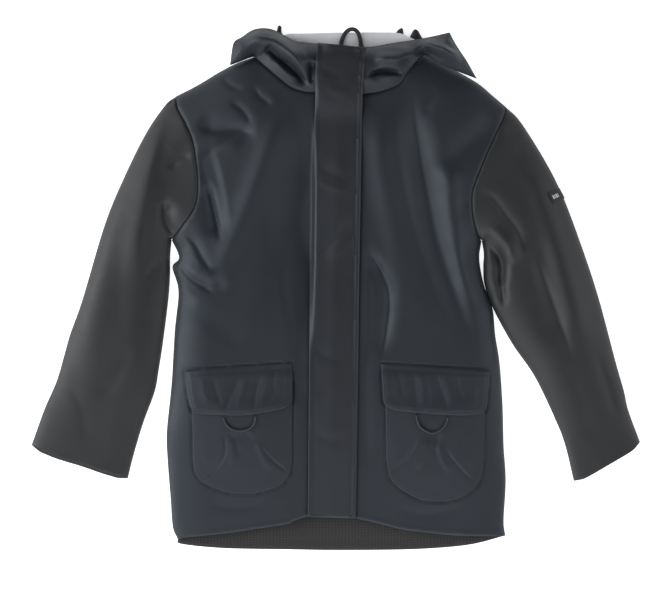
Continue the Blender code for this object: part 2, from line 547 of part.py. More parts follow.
def build():
    shell = {n: material_for(n + "_shell", NAVY, 0.45) for n in (
        "front_right", "front_left", "front_placket", "sleeve_right", "sleeve_left", "hood_side_right",
        "hood_side_left", "hood_back", "pocket_right", "pocket_left", "flap_right", "flap_left")}
    plan = whole_front()
    right, left = front_outlines()
    two_sheets("front_right", cut_piece(plan, right), front_height, -WALL, WALL, shell["front_right"])
    two_sheets("front_left", cut_piece(plan, left), front_height, -WALL, WALL, shell["front_left"])

    placket = np.vstack([CURVES["free_edge"], CURVES["free_edge_top"][1:], CURVES["centre_top"][-1],
                         CURVES["seam_edge_top"][::-1], CURVES["seam_edge"][::-1][1:], CURVES["centre"][0]])
    two_sheets("front_placket", cut_piece(plan, placket), upper_height, LAY, WALL, shell["front_placket"])

    hood_right = np.vstack([CURVES["r_neck"], CURVES["centre"][-1], CURVES["centre_top"][-1],
                            CURVES["r_wing_top"][:-1], CURVES["r_wing_low"][:-1]])
    hood_left = np.vstack([CURVES["centre_top"][-1], CURVES["centre"][-1], CURVES["l_neck"][::-1][:-1],
                           CURVES["l_wing_low"][::-1][:-1], CURVES["l_wing_out"][::-1][:-1],
                           CURVES["l_wing_top"][::-1]])
    two_sheets("hood_side_right", cut_piece(plan, hood_right), hood_height, -WALL, WALL, shell["hood_side_right"])
    two_sheets("hood_side_left", cut_piece(plan, hood_left), hood_height, -WALL, WALL, shell["hood_side_left"])

    for name in ("pocket_right", "pocket_left"):
        piece = cut_piece(plan, PATCH_OUTLINES[name][:-1])
        two_sheets(name, piece, front_height, pocket_lift, WALL, shell[name])
    for name in ("flap_right", "flap_left"):
        piece = cut_piece(plan, PATCH_OUTLINES[name][:-1])
        two_sheets(name, piece, front_height, flap_lift, WALL, shell[name])

    back = np.vstack([CURVES["r_side"][::-1][:-1], CURVES["r_armhole"][::-1][:-1], CURVES["r_shoulder"][:-1],
                      CURVES["back_neck"][:-1], CURVES["l_shoulder"][::-1][:-1], CURVES["l_armhole"][:-1],
                      CURVES["l_side"][:-1], CURVES["back_hem"][::-1][:-1]])
    back_plan = cut_plan([np.vstack([back, back[:1]])], 27.0, ((-200.0, -285.0), (200.0, 285.0)))
    two_sheets("back_panel", cut_piece(back_plan, back), back_height, -WALL, WALL,
               material_for("back_panel_knit", KNIT, 0.8))

    make_sleeve("sleeve_right", "r", plan, shell["sleeve_right"])
    make_sleeve("sleeve_left", "l", plan, shell["sleeve_left"])

    slab("hood_back", HOOD_BACK, HOOD_LAYERS, shell["hood_back"], hood_back_top)
    lining_plan = cut_plan([np.array(LINING + LINING[:1])], 16.0, ((-80.0, 240.0), (110.0, 280.0)))
    two_sheets("hood_lining", cut_piece(lining_plan, np.array(LINING)), lining_height, 0.0, 1.2,
               material_for("hood_lining_white", WHITE, 0.7))
    ribbon("hanger_loop", curve_through(HANGER, 12), HANGER_WIDTH, 1.2, 10.6,
           material_for("hanger_loop_tape", NAVY_TRIM, 0.7))
    for name, stations in LOOPS.items():
        line = curve_through(stations, 14)
        z = front_height(line) + pocket_lift(line) + WALL + LAY + 0.3 + LOOP_DIAMETER / 2
        tube(name, np.column_stack([line, z]), LOOP_DIAMETER / 2, material_for(name + "_cord", NAVY_TRIM, 0.6))
    make_label(material_for("sleeve_label_woven", BLACK, 0.6))


def lining_height(points):
    return 8.9 - 2.6 * ease((points[:, 1] - 262) / 8)


for old in list(bpy.data.objects):
    bpy.data.objects.remove(old, do_unlink=True)
build()
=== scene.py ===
"""Looks of a child's hooded raincoat that lies flat on its back, front up.

Tables are in millimetres, on the plan seen from above: +X is the wearer's left, +Y runs from the
hem to the neck, +Z is up from the surface. Right and left in names are the wearer's.
"""

import random

import bpy
import numpy as np
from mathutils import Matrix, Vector, geometry


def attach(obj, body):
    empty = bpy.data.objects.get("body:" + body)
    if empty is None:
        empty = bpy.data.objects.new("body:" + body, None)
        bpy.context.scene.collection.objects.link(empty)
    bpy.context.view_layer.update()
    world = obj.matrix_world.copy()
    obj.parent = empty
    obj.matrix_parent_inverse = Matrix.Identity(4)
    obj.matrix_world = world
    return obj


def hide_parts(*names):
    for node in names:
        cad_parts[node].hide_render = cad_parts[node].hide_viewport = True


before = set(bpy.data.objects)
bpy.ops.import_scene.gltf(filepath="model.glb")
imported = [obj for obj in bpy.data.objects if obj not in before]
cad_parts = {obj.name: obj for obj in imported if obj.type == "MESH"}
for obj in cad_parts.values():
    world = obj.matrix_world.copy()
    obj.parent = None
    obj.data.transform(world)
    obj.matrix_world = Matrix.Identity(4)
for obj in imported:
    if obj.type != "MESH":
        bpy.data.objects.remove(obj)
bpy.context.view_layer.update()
random.seed(11)
scene = bpy.context.scene

MM = 0.001
WALL = 1.5          # cloth wall of the solids
CLOTH = 1.0         # thickness of the cloth shown
LAY = 0.35          # clearance between a panel and what lies on it
EDGE_Z = 3.4        # top of the front cloth at a side fold
DOME = 11.0         # how far the front cloth stands above its side folds
DOME_REACH = 38.0   # distance from a fold to full height
ROLL = 3.0          # rounding of the folded edge
HOOD_RAISE = 8.5    # what the hood folded below lifts the upper back
NECK_Y = 203.5      # level of the neck seam at the placket
FOLD_SIGHT = 0.3    # a rim point nearer than this to a curve is on it
PACKED_WALL = 0.8   # cloth of the tubes and of the folded hood
GROOVE = 0.8        # half width of a sewn groove
RIM_WEAR = 1.1      # how far wear reaches in from a rim
POCKET_STITCH, FLAP_STITCH, PLACKET_STITCH, BACK_STITCH = 2.4, 2.9, 6.0, 9.0   # rows of stitches, from the edge
FLAP_SEAM_STITCH = 5.2
PLACKET_REACH = 246  # the placket follows the hood up to this level
BRIDGE = 0.35       # how stiffly the placket bridges a step, per mm
STEP = 2.2          # spacing of the cloth's points

# Seams and edges: (number of spans, (x, y) stations from first end to last).
EDGES = {
    "r_outer": (22, [(-168.6, 201.7), (-179.5, 192.9), (-199.2, 164.4), (-221.2, 120.6), (-243, 68.1),
        (-267.2, -12.9), (-280.3, -49.9), (-293.4, -95.8), (-306.5, -126.4), (-320.8, -165.9)]),
    "r_inner": (22, [(-172.8, 50.6), (-174.3, 32), (-174.4, 13.3), (-176.2, -12.6), (-181.7, -56.4),
        (-186.1, -84.8), (-190.5, -109), (-202.5, -141.8), (-212.4, -174.6), (-219, -200.9)]),
    "r_cuff": (10, [(-320.8, -165.9), (-295.6, -176.8), (-267.2, -185.6), (-243, -193.9), (-219, -200.9)]),
    "r_armhole": (10, [(-168.6, 201.7), (-166.2, 188.7), (-157.3, 171.8), (-150.1, 154.1), (-146.8, 134.8),
        (-144.7, 113.9), (-146.1, 91.5), (-152.5, 77), (-158.9, 68.1), (-172.8, 50.6)]),
    "r_side": (24, [(-172.8, 50.6), (-165, 32), (-172, 22), (-165.8, -3.4), (-169.7, -45.5), (-173, -100.2),
        (-178, -150.6), (-177.4, -179), (-174, -222.8), (-171.8, -251.3), (-166.4, -264.8)]),
    "r_shoulder": (9, [(-168.6, 201.7), (-144.5, 214), (-122.6, 227), (-104, 236.5), (-86, 243)]),
    "r_neck": (8, [(-86, 243), (-76, 234), (-61.5, 221.3), (-47.1, 210.3), (-32.3, 205.3), (-21.7, 204.5)]),
    "l_outer": (22, [(179.2, 190.7), (194.5, 175.4), (220.8, 133.8), (240.4, 94.4), (262.3, 35.3),
        (277.7, -12.6), (295.2, -78.3), (303.9, -109), (308.3, -128.6), (320.8, -162.6)]),
    "l_inner": (22, [(153.6, 49.7), (155.8, 36), (155.2, 22), (156.6, 3), (165.4, -21.3), (185.7, -58.6),
        (209.7, -93.7), (231.7, -139.7), (241.6, -165.9), (250.7, -203.6)]),
    "l_cuff": (10, [(320.8, -162.6), (310.5, -171.4), (288.6, -184.5), (264.5, -198.3), (250.7, -203.6)]),
    "l_armhole": (10, [(179.2, 190.7), (175.8, 177.6), (159.4, 142.6), (146.3, 109.7), (143, 96.6),
        (144.1, 74.7), (149, 56), (153.6, 49.7)]),
    "l_side": (24, [(153.6, 49.7), (151.4, 30), (156.4, 3), (165.2, -21.3), (168.2, -49.9), (172.6, -78.3),
        (175.8, -122.1), (177, -165.9), (179.2, -203.1), (177, -244.8), (178.8, -261)]),
    "l_shoulder": (9, [(179.2, 190.7), (166, 201.7), (148.5, 216), (120, 232), (94, 246)]),
    "l_neck": (10, [(94, 246), (83.2, 235.7), (74.2, 223.7), (66.7, 213.2), (46.7, 205.5), (28.3, 202.8)]),
    "r_hem": (11, [(-29.6, -240.2), (-43.5, -244.7), (-51.9, -248.5), (-82, -253.1), (-119.4, -258.5),
        (-154.4, -262.1), (-166.4, -264.8)]),
    "l_hem": (11, [(21.5, -242.4), (44.9, -247.7), (70.3, -254.1), (95.7, -257.3), (127.5, -260.2),
        (178.8, -261)]),
    "free_edge": (20, [(-29.6, -240.2), (-28.4, -100.2), (-27.4, -12.6), (-24.1, 105.3), (-22.6, 170),
        (-21.7, 204.5)]),
    "seam_edge": (20, [(21.5, -242.4), (23.7, -99.8), (24.7, -10.5), (26.9, 127.3), (28.3, 202.8)]),
    "free_edge_top": (5, [(-21.7, 204.5), (-21.3, 230.7), (-19.3, 256.4)]),
    "seam_edge_top": (5, [(28.3, 202.8), (29.8, 228), (31.7, 251.8)]),
    "centre": (20, [(-5, -241.4), (-1.5, -100), (0, 50), (3, 203.6)]),
    "centre_top": (5, [(3, 203.6), (6.2, 254.2)]),
    "back_hem": (18, [(-166.4, -264.8), (-162.8, -269.7), (-118.3, -274.2), (-45.9, -275.6), (4.5, -276.3),
        (83, -275.3), (140.2, -270.6), (178.8, -261)]),
    "back_neck": (8, [(-86, 243), (-40, 249), (6, 251.5), (50, 251), (94, 246)]),
    "r_wing_top": (13, [(-19.3, 256.4), (-34, 258.2), (-42.5, 259.4), (-64.1, 270.7), (-76.7, 273),
        (-88, 270.7), (-98.3, 263.9), (-107.5, 257), (-111.2, 233.6)]),
    "r_wing_low": (4, [(-111.2, 233.6), (-103, 236.6), (-94, 240.2), (-86, 243)]),
    "l_wing_top": (10, [(31.7, 251.8), (41, 253.6), (58.7, 257.1), (92.5, 262.5), (119.5, 268.5)]),
    "l_wing_out": (5, [(119.5, 268.5), (127.5, 253.5), (138.2, 237.2), (148.5, 219.5)]),
    "l_wing_low": (6, [(148.5, 219.5), (125, 228), (106.9, 236), (94, 246)]),
}

# Pockets and flaps: outline stations, anticlockwise from the top left.
PATCHES = {
    "pocket_right": [(-151.8, -98), (-151, -130), (-150.3, -160), (-149.6, -184), (-146, -196.5),
        (-137.5, -205.5), (-115.1, -214.1), (-96.9, -215.8), (-79.7, -214.6), (-60, -208), (-49.5, -198),
        (-45.8, -184), (-45.5, -160), (-45.5, -130), (-45.5, -98)],
    "flap_right": [(-158.5, -86.1), (-157.9, -94), (-156.9, -102.7), (-154.8, -116), (-151.5, -127),
        (-144, -132.2), (-120, -133.4), (-99.1, -133.8), (-76, -131), (-56.2, -126.8), (-47.8, -121.8),
        (-45.4, -113), (-45.7, -95), (-46, -78.6)],
    "pocket_left": [(51.5, -98), (52.2, -130), (52.9, -160), (53.8, -186), (61, -204.5), (85, -220.6),
        (104.6, -224), (126.6, -221.8), (144.1, -211.9), (152.8, -198.8), (155.8, -176.8), (156.1, -150),
        (156.2, -98)],
    "flap_left": [(47.6, -79.2), (48.4, -98), (49.4, -114), (51.8, -122.5), (62.6, -128.6),
        (84, -130.8), (105.5, -132.7), (132.2, -133.8), (149.5, -132.6), (157.6, -126.3), (159.6, -112),
        (161.5, -86.1)],
}

# Folds of the front cloth: height, half width, stations of the crest or trough.
FOLDS = [
    (3, 13, [(-52.6, 197.3), (-67.9, 160), (-89.7, 94.4), (-122.6, 17.7), (-133.5, -4.2)]),
    (-1, 14, [(-34, 190), (-40, 120), (-60, 40), (-50, -40)]),
    (-3, 9, [(-137.9, 109.7), (-131, 80), (-124.8, 50.6)]),
    (-3, 10, [(-146.7, 173.3), (-110, 165), (-81, 164)]),
    (2.5, 9, [(-164, 24), (-150, 14), (-124, 12)]),
    (-2, 8, [(-165, 5), (-140, 0), (-112, 8)]),
    (1.5, 16, [(-176, 185), (-190.5, 149), (-199.2, 105.3), (-205.9, 61.5), (-209, -4)]),
    (-0.5, 16, [(-205, 120), (-226, 50), (-240, -20), (-250, -90)]),
    (-4.5, 8, [(-166, 52), (-177, 66), (-178, 92)]),
    (3, 14, [(45, 190), (48, 120), (62, 60), (74, 0)]),
    (-1.5, 12, [(71.9, 199.5), (85, 144.7), (95.9, 94.4), (106.8, 54.9), (122.2, 11.1), (152.8, -73.9)]),
    (-3, 8, [(28, 39.6), (47.7, 17.7), (56.5, -10.7), (47.7, -78.3)]),
    (-2.5, 15, [(174.8, 175.4), (140, 148), (104.6, 120.6)]),
    (3.5, 10, [(118, 160), (122, 90), (134, 20), (150, -30)]),
    (4, 8, [(151.8, 50), (163.8, 54.8), (181.3, 44.1), (186.6, 22.7)]),
    (-3.5, 8, [(158, 36), (170, 30), (172, 0)]),
    (3, 12, [(185, 175), (215, 100), (238, 20), (262, -80)]),
    (-2.5, 12, [(210, 60), (222, 0), (238, -60)]),
]

# Folds of the hood where it rolls over the shoulders.
HOOD_FOLDS = [
    (7, 9, [(-98, 252), (-78, 262), (-58, 254), (-43, 240), (-32, 218)]),
    (-6, 5, [(-84, 249), (-68, 249), (-58, 241), (-46, 231), (-36, 218), (-28, 208)]),
    (-5, 5, [(-25, 238), (-25, 212)]),
    (-4, 5, [(32, 221), (48, 227), (62, 226), (74, 221)]),
    (5, 7, [(86, 259), (110, 250), (134, 238)]),
    (4, 8, [(40, 240), (64, 240), (84, 250)]),
]

# Cord loops below the flaps: stations of the centre line.
LOOP_DIAMETER = 2.2
LOOPS = {
    "loop_right": [(-117.8, -136.2), (-115.6, -142), (-109.8, -147.6), (-100.1, -150), (-90.5, -147.6),
        (-85.4, -142), (-83.8, -135)],
    "loop_left": [(84.6, -133.8), (85.6, -139.5), (89.4, -146.5), (101, -152.4), (111.6, -147.7),
        (116.2, -141), (117.6, -136.2)],
}

# The hood folded below the back: outline with the corners that reach past the lining.
HOOD_BACK = [(-90, 176), (20, 170), (120, 178), (124, 240), (104, 256), (92.7, 262), (86.5, 271.5),
    (82, 272), (76, 262), (72.6, 263), (70.6, 273.6), (66, 272.5), (55.5, 263.6), (20, 262), (-40, 262),
    (-55.4, 267), (-57, 275.6), (-61, 276.3), (-64.5, 268), (-84, 258)]

LINING = [(-60, 251), (-20, 252.2), (20, 252.8), (52, 252.4), (88, 249.2), (86, 259), (78, 263.5),
    (64, 268.5), (20, 269), (-30, 268), (-54, 266)]

HANGER = [(4.8, 252), (7, 262), (11.5, 269.5), (17.3, 272), (22.5, 269.5), (25.5, 262), (27, 252)]
HANGER_WIDTH = 4.4

# Label round the left sleeve's outer fold: distance from its inner end, lift, along the band.
LABEL_INNER = ((222.6, 99.6), (228.6, 88.2))
LABEL_OUTER = ((235.8, 105.2), (241.4, 94.8))


# Finer relief of the upper cloth: (height, width on one side, width on the other, sharpness, stations).
# The first width is on the left of someone who walks up the line from its last station to its first.
RELIEF = [
    # right front
    (1, 9.6, 12.4, 1.8, [(-50, 200), (-62, 168), (-78, 124), (-92, 88), (-110, 44), (-124, 16), (-134, -6)]),
    (-0.8, 9, 9, 2.2, [(-30, 198), (-33, 160), (-36, 120), (-38, 60), (-42, 0), (-42, -60)]),
    (-1.3, 7, 12, 2, [(-46, 40), (-46, 0), (-38, -50), (-36, -110)]),
    (-3.9, 2.2, 3.2, 1.5, [(-136, 116), (-130, 90), (-125, 66), (-122, 46)]),
    (0.6, 8.3, 7, 2, [(-131, 120), (-122, 90), (-113, 62)]),
    (-1.8, 3, 6, 1.6, [(-148, 172), (-126, 164), (-104, 166), (-84, 160)]),
    (-2.1, 3, 5.2, 1.6, [(-143, 134), (-128, 146), (-108, 158), (-90, 165)]),
    (0.6, 8.3, 12.4, 2, [(-134, 150), (-118, 152), (-98, 146)]),
    (-1.7, 2.6, 3.8, 1.5, [(-112, 196), (-98, 186), (-88, 170)]),
    (0.4, 7, 8.3, 2, [(-92, 200), (-84, 184), (-76, 168)]),
    (-1.8, 2.2, 3.4, 1.4, [(-88, 212), (-78, 198), (-66, 192)]),
    (0.4, 4.8, 5.5, 1.7, [(-74, 208), (-66, 198), (-58, 194)]),
    (-1, 2.5, 4, 1.5, [(-122, 222), (-108, 210), (-96, 208)]),
    (-2.6, 2.2, 5.2, 1.5, [(-167, 26), (-152, 10), (-134, -2), (-128, -8)]),
    (0.8, 8.3, 5.5, 1.8, [(-163, 40), (-150, 34), (-136, 18)]),
    (-2.3, 2.2, 4.5, 1.5, [(-160, 58), (-148, 46), (-140, 30), (-128, 14)]),
    (0.6, 7, 11, 2, [(-166, 8), (-150, -8), (-138, -22)]),
    (-0.8, 9, 14, 2, [(-150, -20), (-120, -46), (-92, -60)]),
    (0.6, 13.8, 13.8, 2, [(-80, 40), (-86, -10), (-84, -60)]),
    (-0.6, 8, 10, 2, [(-60, -90), (-30, -120), (-34, -180)]),
    (0.3, 11, 12.4, 2, [(-164, -60), (-164, -140), (-162, -220)]),
    (-0.6, 5, 9, 1.8, [(-140, -222), (-110, -232), (-70, -226)]),
    (0.2, 9.6, 9.6, 2, [(-60, -214), (-54, -232), (-52, -246)]),
    # left front
    (1.5, 13.8, 18.4, 2, [(46, 196), (50, 150), (58, 100), (66, 66)]),
    (-1.6, 5, 6, 1.6, [(78, 214), (84, 168), (90, 134), (96, 108), (104, 72), (110, 50)]),
    (-1.3, 9, 8, 1.9, [(98, 96), (108, 58), (120, 18), (130, -24), (146, -62), (156, -80)]),
    (0.7, 7, 9.6, 1.8, [(112, 76), (122, 44), (134, 6), (144, -28), (158, -62)]),
    (-2.3, 3.4, 2.2, 1.5, [(27, 44), (42, 28), (52, 8), (56, -18), (52, -52), (46, -82)]),
    (0.6, 5.5, 7, 1.8, [(27, 30), (36, 16), (42, -2), (43, -30), (38, -62)]),
    (-1.1, 10, 7, 2, [(30, -40), (30, -120), (31, -200)]),
    (-1.3, 10, 12, 2, [(172, 176), (150, 160), (128, 142), (106, 122)]),
    (0.5, 12.4, 15.1, 2, [(160, 190), (134, 176), (112, 156)]),
    (0.6, 11, 12.4, 2, [(148, 134), (132, 118), (118, 96)]),
    (-0.9, 8, 9, 2, [(142, 100), (132, 84), (126, 62)]),
    (-0.9, 4, 7, 1.7, [(104, 214), (98, 196), (92, 178)]),
    (0.4, 8.3, 8.3, 2, [(122, 216), (112, 200), (104, 180)]),
    (0.4, 7, 12.4, 2, [(150, 36), (146, 0), (156, -36)]),
    (0.6, 16.1, 13.8, 2, [(76, 20), (92, -20), (110, -62)]),
    (0.3, 9.6, 11, 2, [(168, -90), (168, -150), (170, -220)]),
    (-0.6, 9, 5, 1.8, [(60, -232), (100, -238), (140, -228)]),
    # right sleeve
    (2, 20.7, 6.9, 2, [(-177, 194), (-190, 150), (-199, 106), (-206, 62), (-209, 20), (-210, -10)]),
    (-0.6, 12, 9, 2, [(-204, 130), (-216, 86), (-224, 40), (-230, -10), (-226, -60)]),
    (-3.1, 3.8, 2.6, 1.5, [(-167, 52), (-176, 62), (-180, 80), (-177, 98)]),
    (0.7, 5.5, 7, 1.8, [(-180, 54), (-188, 72), (-188, 98), (-178, 118)]),
    (-1.7, 3, 3.8, 1.6, [(-150, 140), (-164, 136), (-176, 124)]),
    (0.4, 8.3, 8.3, 2, [(-152, 160), (-166, 156), (-180, 144)]),
    (-0.9, 4, 7, 1.7, [(-178, 30), (-190, 24), (-200, 8)]),
    (0.4, 7, 8.3, 2, [(-180, 10), (-192, -6), (-200, -34)]),
    (-0.8, 8, 7, 2, [(-212, -60), (-232, -96), (-252, -120)]),
    (0.3, 12.4, 12.4, 2, [(-236, -60), (-258, -110), (-272, -150)]),
    (-0.5, 5, 8, 1.8, [(-284, -96), (-268, -126), (-262, -168)]),
    (0.3, 8.3, 8.3, 1.8, [(-224, -120), (-234, -150), (-238, -182)]),
    (1.6, 10.3, 14.9, 2, [(-196, 160), (-220, 106), (-236, 56), (-250, 4), (-262, -50), (-272, -90)]),
    # left sleeve
    (1.2, 8.3, 7, 1.7, [(150, 54), (160, 60), (172, 58), (182, 46), (186, 28), (184, 6)]),
    (-5.3, 3.6, 4.2, 1.8, [(156, 40), (166, 40), (174, 26), (174, 2), (178, -24)]),
    (-2.5, 3, 4.5, 1.6, [(147, 104), (164, 94), (178, 76), (192, 56), (196, 30)]),
    (0.6, 7, 8.3, 1.8, [(158, 110), (174, 100), (192, 82), (204, 52)]),
    (0.7, 7, 11, 1.8, [(206, 150), (222, 110), (232, 76), (246, 30), (256, -20), (266, -70)]),
    (-1.8, 6, 3.8, 1.8, [(206, 40), (222, 0), (238, -44), (250, -84)]),
    (-0.9, 5, 7, 1.8, [(184, 150), (200, 132), (212, 108)]),
    (0.4, 9.6, 11, 2, [(190, 172), (206, 150), (220, 124)]),
    (0.6, 5.5, 8.3, 1.7, [(280, -40), (292, -84), (304, -120), (312, -148)]),
    (-1, 5, 4, 1.7, [(272, -64), (286, -104), (298, -140)]),
    (0.3, 11, 12.4, 2, [(200, -30), (222, -74), (246, -120)]),
    (-0.6, 6, 8, 1.9, [(236, -70), (258, -120), (268, -170)]),
    (0.3, 7, 8.3, 1.8, [(262, -150), (270, -170), (276, -188)]),
]

# The same for the placket's own cloth.
PLACKET_RELIEF = [
    (0.9, 10, 9, 2, [(4, 252), (3, 150), (1, 40), (-2, -90), (-5, -236)]),
    (-0.7, 4, 6, 1.6, [(-22, 128), (-6, 120), (14, 112)]),
    (0.6, 4, 4, 1.8, [(-20, 112), (-4, 106), (16, 100)]),
    (-0.8, 5, 4, 1.6, [(20, 74), (4, 56), (-8, 44), (-24, 34)]),
    (0.7, 5, 5, 1.8, [(20, 58), (6, 42), (-10, 30)]),
    (-0.6, 4, 6, 1.7, [(22, 20), (12, 2), (8, -26)]),
    (-0.6, 6, 4, 1.7, [(-20, 236), (-8, 226), (10, 222)]),
    (0.6, 5, 6, 1.9, [(-12, 214), (0, 206), (16, 202)]),
    (-0.5, 5, 7, 1.8, [(-26, -60), (-10, -72), (12, -78)]),
    (-0.4, 5, 6, 1.8, [(-24, -150), (-8, -160), (14, -158)]),
]

# Where the hood rolls outwards: a drop below each fold line, then its lobes and wrinkles.
HOOD_STEPS = [
    (8, 4, 15, [(-104, 240), (-88, 243.5), (-80, 246.5), (-71, 255), (-65, 251.5), (-56.8, 243.5),
        (-43.5, 235.3), (-34.6, 224.8), (-27.6, 214.3), (-24.5, 207)]),
    (6, 3, 9, [(31, 224), (40, 228), (48.7, 230), (62, 229.5), (74, 225.5), (81, 234)]),
]
HOOD_RELIEF = [
    (2.4, 4, 6, 1.8, [(-98, 255), (-86, 261), (-68, 261), (-50, 249), (-36, 232), (-27, 214)]),
    (2.6, 3, 3, 1.7, [(-68, 243), (-60, 234), (-52, 225), (-42, 220), (-34, 217.5)]),
    (1.5, 4, 5, 2, [(-78, 239), (-66, 229.5), (-54, 219.5), (-42, 213), (-30, 210)]),
    (-1.4, 2, 2, 1.5, [(-72, 240), (-62, 228), (-50, 217), (-38, 211)]),
    (-2, 3, 4, 1.6, [(-25, 240), (-26, 224), (-27, 210)]),
    (-1.6, 3, 4, 1.6, [(-84, 268), (-74, 264), (-60, 264)]),
    (1.6, 4, 4, 1.8, [(-42, 254), (-34, 244), (-28, 230)]),
    (2.4, 3, 4, 1.8, [(31.5, 219), (40, 221), (48.7, 222), (62, 221), (72, 217.5)]),
    (2, 5, 5, 2, [(36, 240), (56, 240), (76, 238)]),
    (2.2, 3.5, 5, 1.7, [(86, 259), (104, 252), (120, 246), (134, 239)]),
    (-1.6, 3, 3.5, 1.5, [(84, 251), (100, 245), (118, 238)]),
    (1.4, 2.2, 2.6, 1.7, [(116, 262), (121, 256), (129, 251)]),
    (-1.3, 1.8, 2.2, 1.5, [(114, 257), (119, 252), (127, 247)]),
    (1.2, 2, 2.4, 1.7, [(110, 254), (116, 249), (124, 244)]),
    (-1.4, 3, 4, 1.6, [(34, 233), (52, 235), (70, 232), (82, 241)]),
    (1, 3, 3, 1.8, [(40, 250), (58, 252), (78, 250)]),
]

# Sewn darts and creases of the pockets and of the flaps.
POCKET_RELIEF = [
    (-1.4, 0.9, 1.2, 1.4, [(-118, -150), (-116, -168), (-119, -180), (-126, -190), (-136, -200)]),
    (1.2, 5, 3, 1.8, [(-110, -152), (-107, -172), (-112, -188)]),
    (-1, 3, 4, 1.6, [(-112, -150), (-106, -164), (-102, -178)]),
    (-1.4, 1.2, 0.9, 1.4, [(-78, -166), (-70, -177), (-60, -186), (-50, -194)]),
    (1.1, 3, 5, 1.8, [(-84, -158), (-76, -178), (-66, -192)]),
    (-1.2, 7, 7, 2, [(-104, -150), (-98, -156), (-90, -150)]),
    (-1.8, 0.9, 1.3, 1.4, [(88, -152), (82, -166), (72, -180), (58, -195)]),
    (1.4, 5, 3, 1.8, [(98, -158), (93, -176), (84, -192)]),
    (-1.8, 1.3, 0.9, 1.4, [(114, -166), (121, -178), (132, -191), (144, -204)]),
    (1.4, 3, 5, 1.8, [(106, -160), (112, -180), (122, -196)]),
    (-1.4, 3, 3, 1.6, [(108, -152), (106, -164), (104, -178)]),
    (-1.4, 8, 8, 2, [(92, -148), (100, -154), (110, -148)]),
    (0.7, 6, 6, 2, [(66, -150), (64, -172), (68, -196)]),
    (0.7, 6, 6, 2, [(140, -146), (142, -170), (138, -190)]),
    (0.6, 5, 6, 2, [(-136, -150), (-138, -172), (-130, -184)]),
]
FLAP_RELIEF = [
    (-1.1, 2, 3, 1.5, [(-100, -90), (-106, -104), (-114, -122), (-116, -134)]),
    (1, 3, 3, 1.8, [(-94, -92), (-98, -108), (-104, -128)]),
    (-1.1, 3, 2, 1.5, [(-76, -88), (-82, -102), (-85, -118), (-86, -132)]),
    (0.9, 3, 3, 1.8, [(-70, -90), (-74, -106), (-78, -126)]),
    (-0.9, 2, 3, 1.5, [(-62, -84), (-66, -98), (-64, -114)]),
    (-0.8, 3, 2.4, 1.6, [(-128, -92), (-126, -106), (-120, -124)]),
    (0.7, 3.5, 3.5, 1.9, [(-140, -92), (-138, -108), (-132, -126)]),
    (-1.3, 2, 3, 1.5, [(78, -86), (82, -100), (84, -118), (84, -132)]),
    (1.1, 3, 3, 1.8, [(86, -86), (91, -102), (92, -126)]),
    (-1.3, 3, 2, 1.5, [(104, -86), (108, -100), (114, -116), (118, -132)]),
    (1, 3, 3, 1.8, [(112, -88), (118, -104), (124, -126)]),
    (-1, 2.4, 2.4, 1.5, [(128, -88), (128, -104), (134, -120)]),
    (-0.9, 2.4, 3, 1.5, [(62, -84), (68, -100), (70, -118)]),
    (0.8, 3, 3, 1.8, [(98, -90), (101, -106), (101, -128)]),
    (0.7, 3, 3.5, 1.9, [(142, -92), (144, -108), (148, -124)]),
]

# Broad hollows of the fronts: (depth, run of the near slope, run of the far slope, near line, far line).
HOLLOWS = [
    (10, 48, 5, [(-46, 206), (-56, 180), (-65, 150), (-76, 110), (-82, 70), (-74, 30), (-62, 0), (-54, -40),
        (-46, -90)], [(-19, 206), (-20, 150), (-21, 60), (-22, 0), (-24, -90)]),
    (9, 26, 34, [(58, 214), (61, 170), (66, 130), (71, 100), (80, 60), (93, 20), (108, -20),
        (128, -70)], [(98, 222), (108, 176), (114, 136), (118, 100), (122, 70), (128, 30), (140, -10),
        (158, -70)]),
    (2.2, 8, 9, [(-150, 150), (-146, 120), (-138, 90), (-132, 50)], [(-126, 150), (-118, 120), (-112, 90),
        (-108, 50)]),
    (1.6, 8, 9, [(27, 60), (27, 20), (27, -40), (27, -90)], [(34, 60), (50, 30), (54, -20), (44, -90)]),
]


# ---- curves -----------------------------------------------------------------------------------

def curve_through(points, spans):
    """Smooth open curve through the points, as spans + 1 points evenly spaced along its length."""
    p = np.array(points, float)
    if len(p) > 2:
        ends = np.vstack([2 * p[0] - p[1], p, 2 * p[-1] - p[-2]])
        dense = []
        for i in range(1, len(ends) - 2):
            a, b, c, d = ends[i - 1:i + 3]
            for t in np.linspace(0, 1, 16, endpoint=False):
                dense.append(0.5 * (2 * b + (c - a) * t + (2 * a - 5 * b + 4 * c - d) * t * t
                                    + (3 * b - a - 3 * c + d) * t ** 3))
        p = np.array(dense + [p[-1]])
    run = np.concatenate([[0], np.cumsum(np.linalg.norm(np.diff(p, axis=0), axis=1))])
    where = np.linspace(0, 1, spans + 1)
    return np.column_stack([np.interp(where * run[-1], run, p[:, k]) for k in range(p.shape[1])])


def length_of(line):
    return float(np.linalg.norm(np.diff(np.asarray(line, float), axis=0), axis=1).sum())


def evenly(points, step):
    """Smooth curve through the points with about that spacing."""
    return curve_through(points, max(2, round(length_of(points) / step)))


CURVES = {name: curve_through(points, spans) for name, (spans, points) in EDGES.items()}
FINE = {name: evenly(points, STEP) for name, (spans, points) in EDGES.items()}


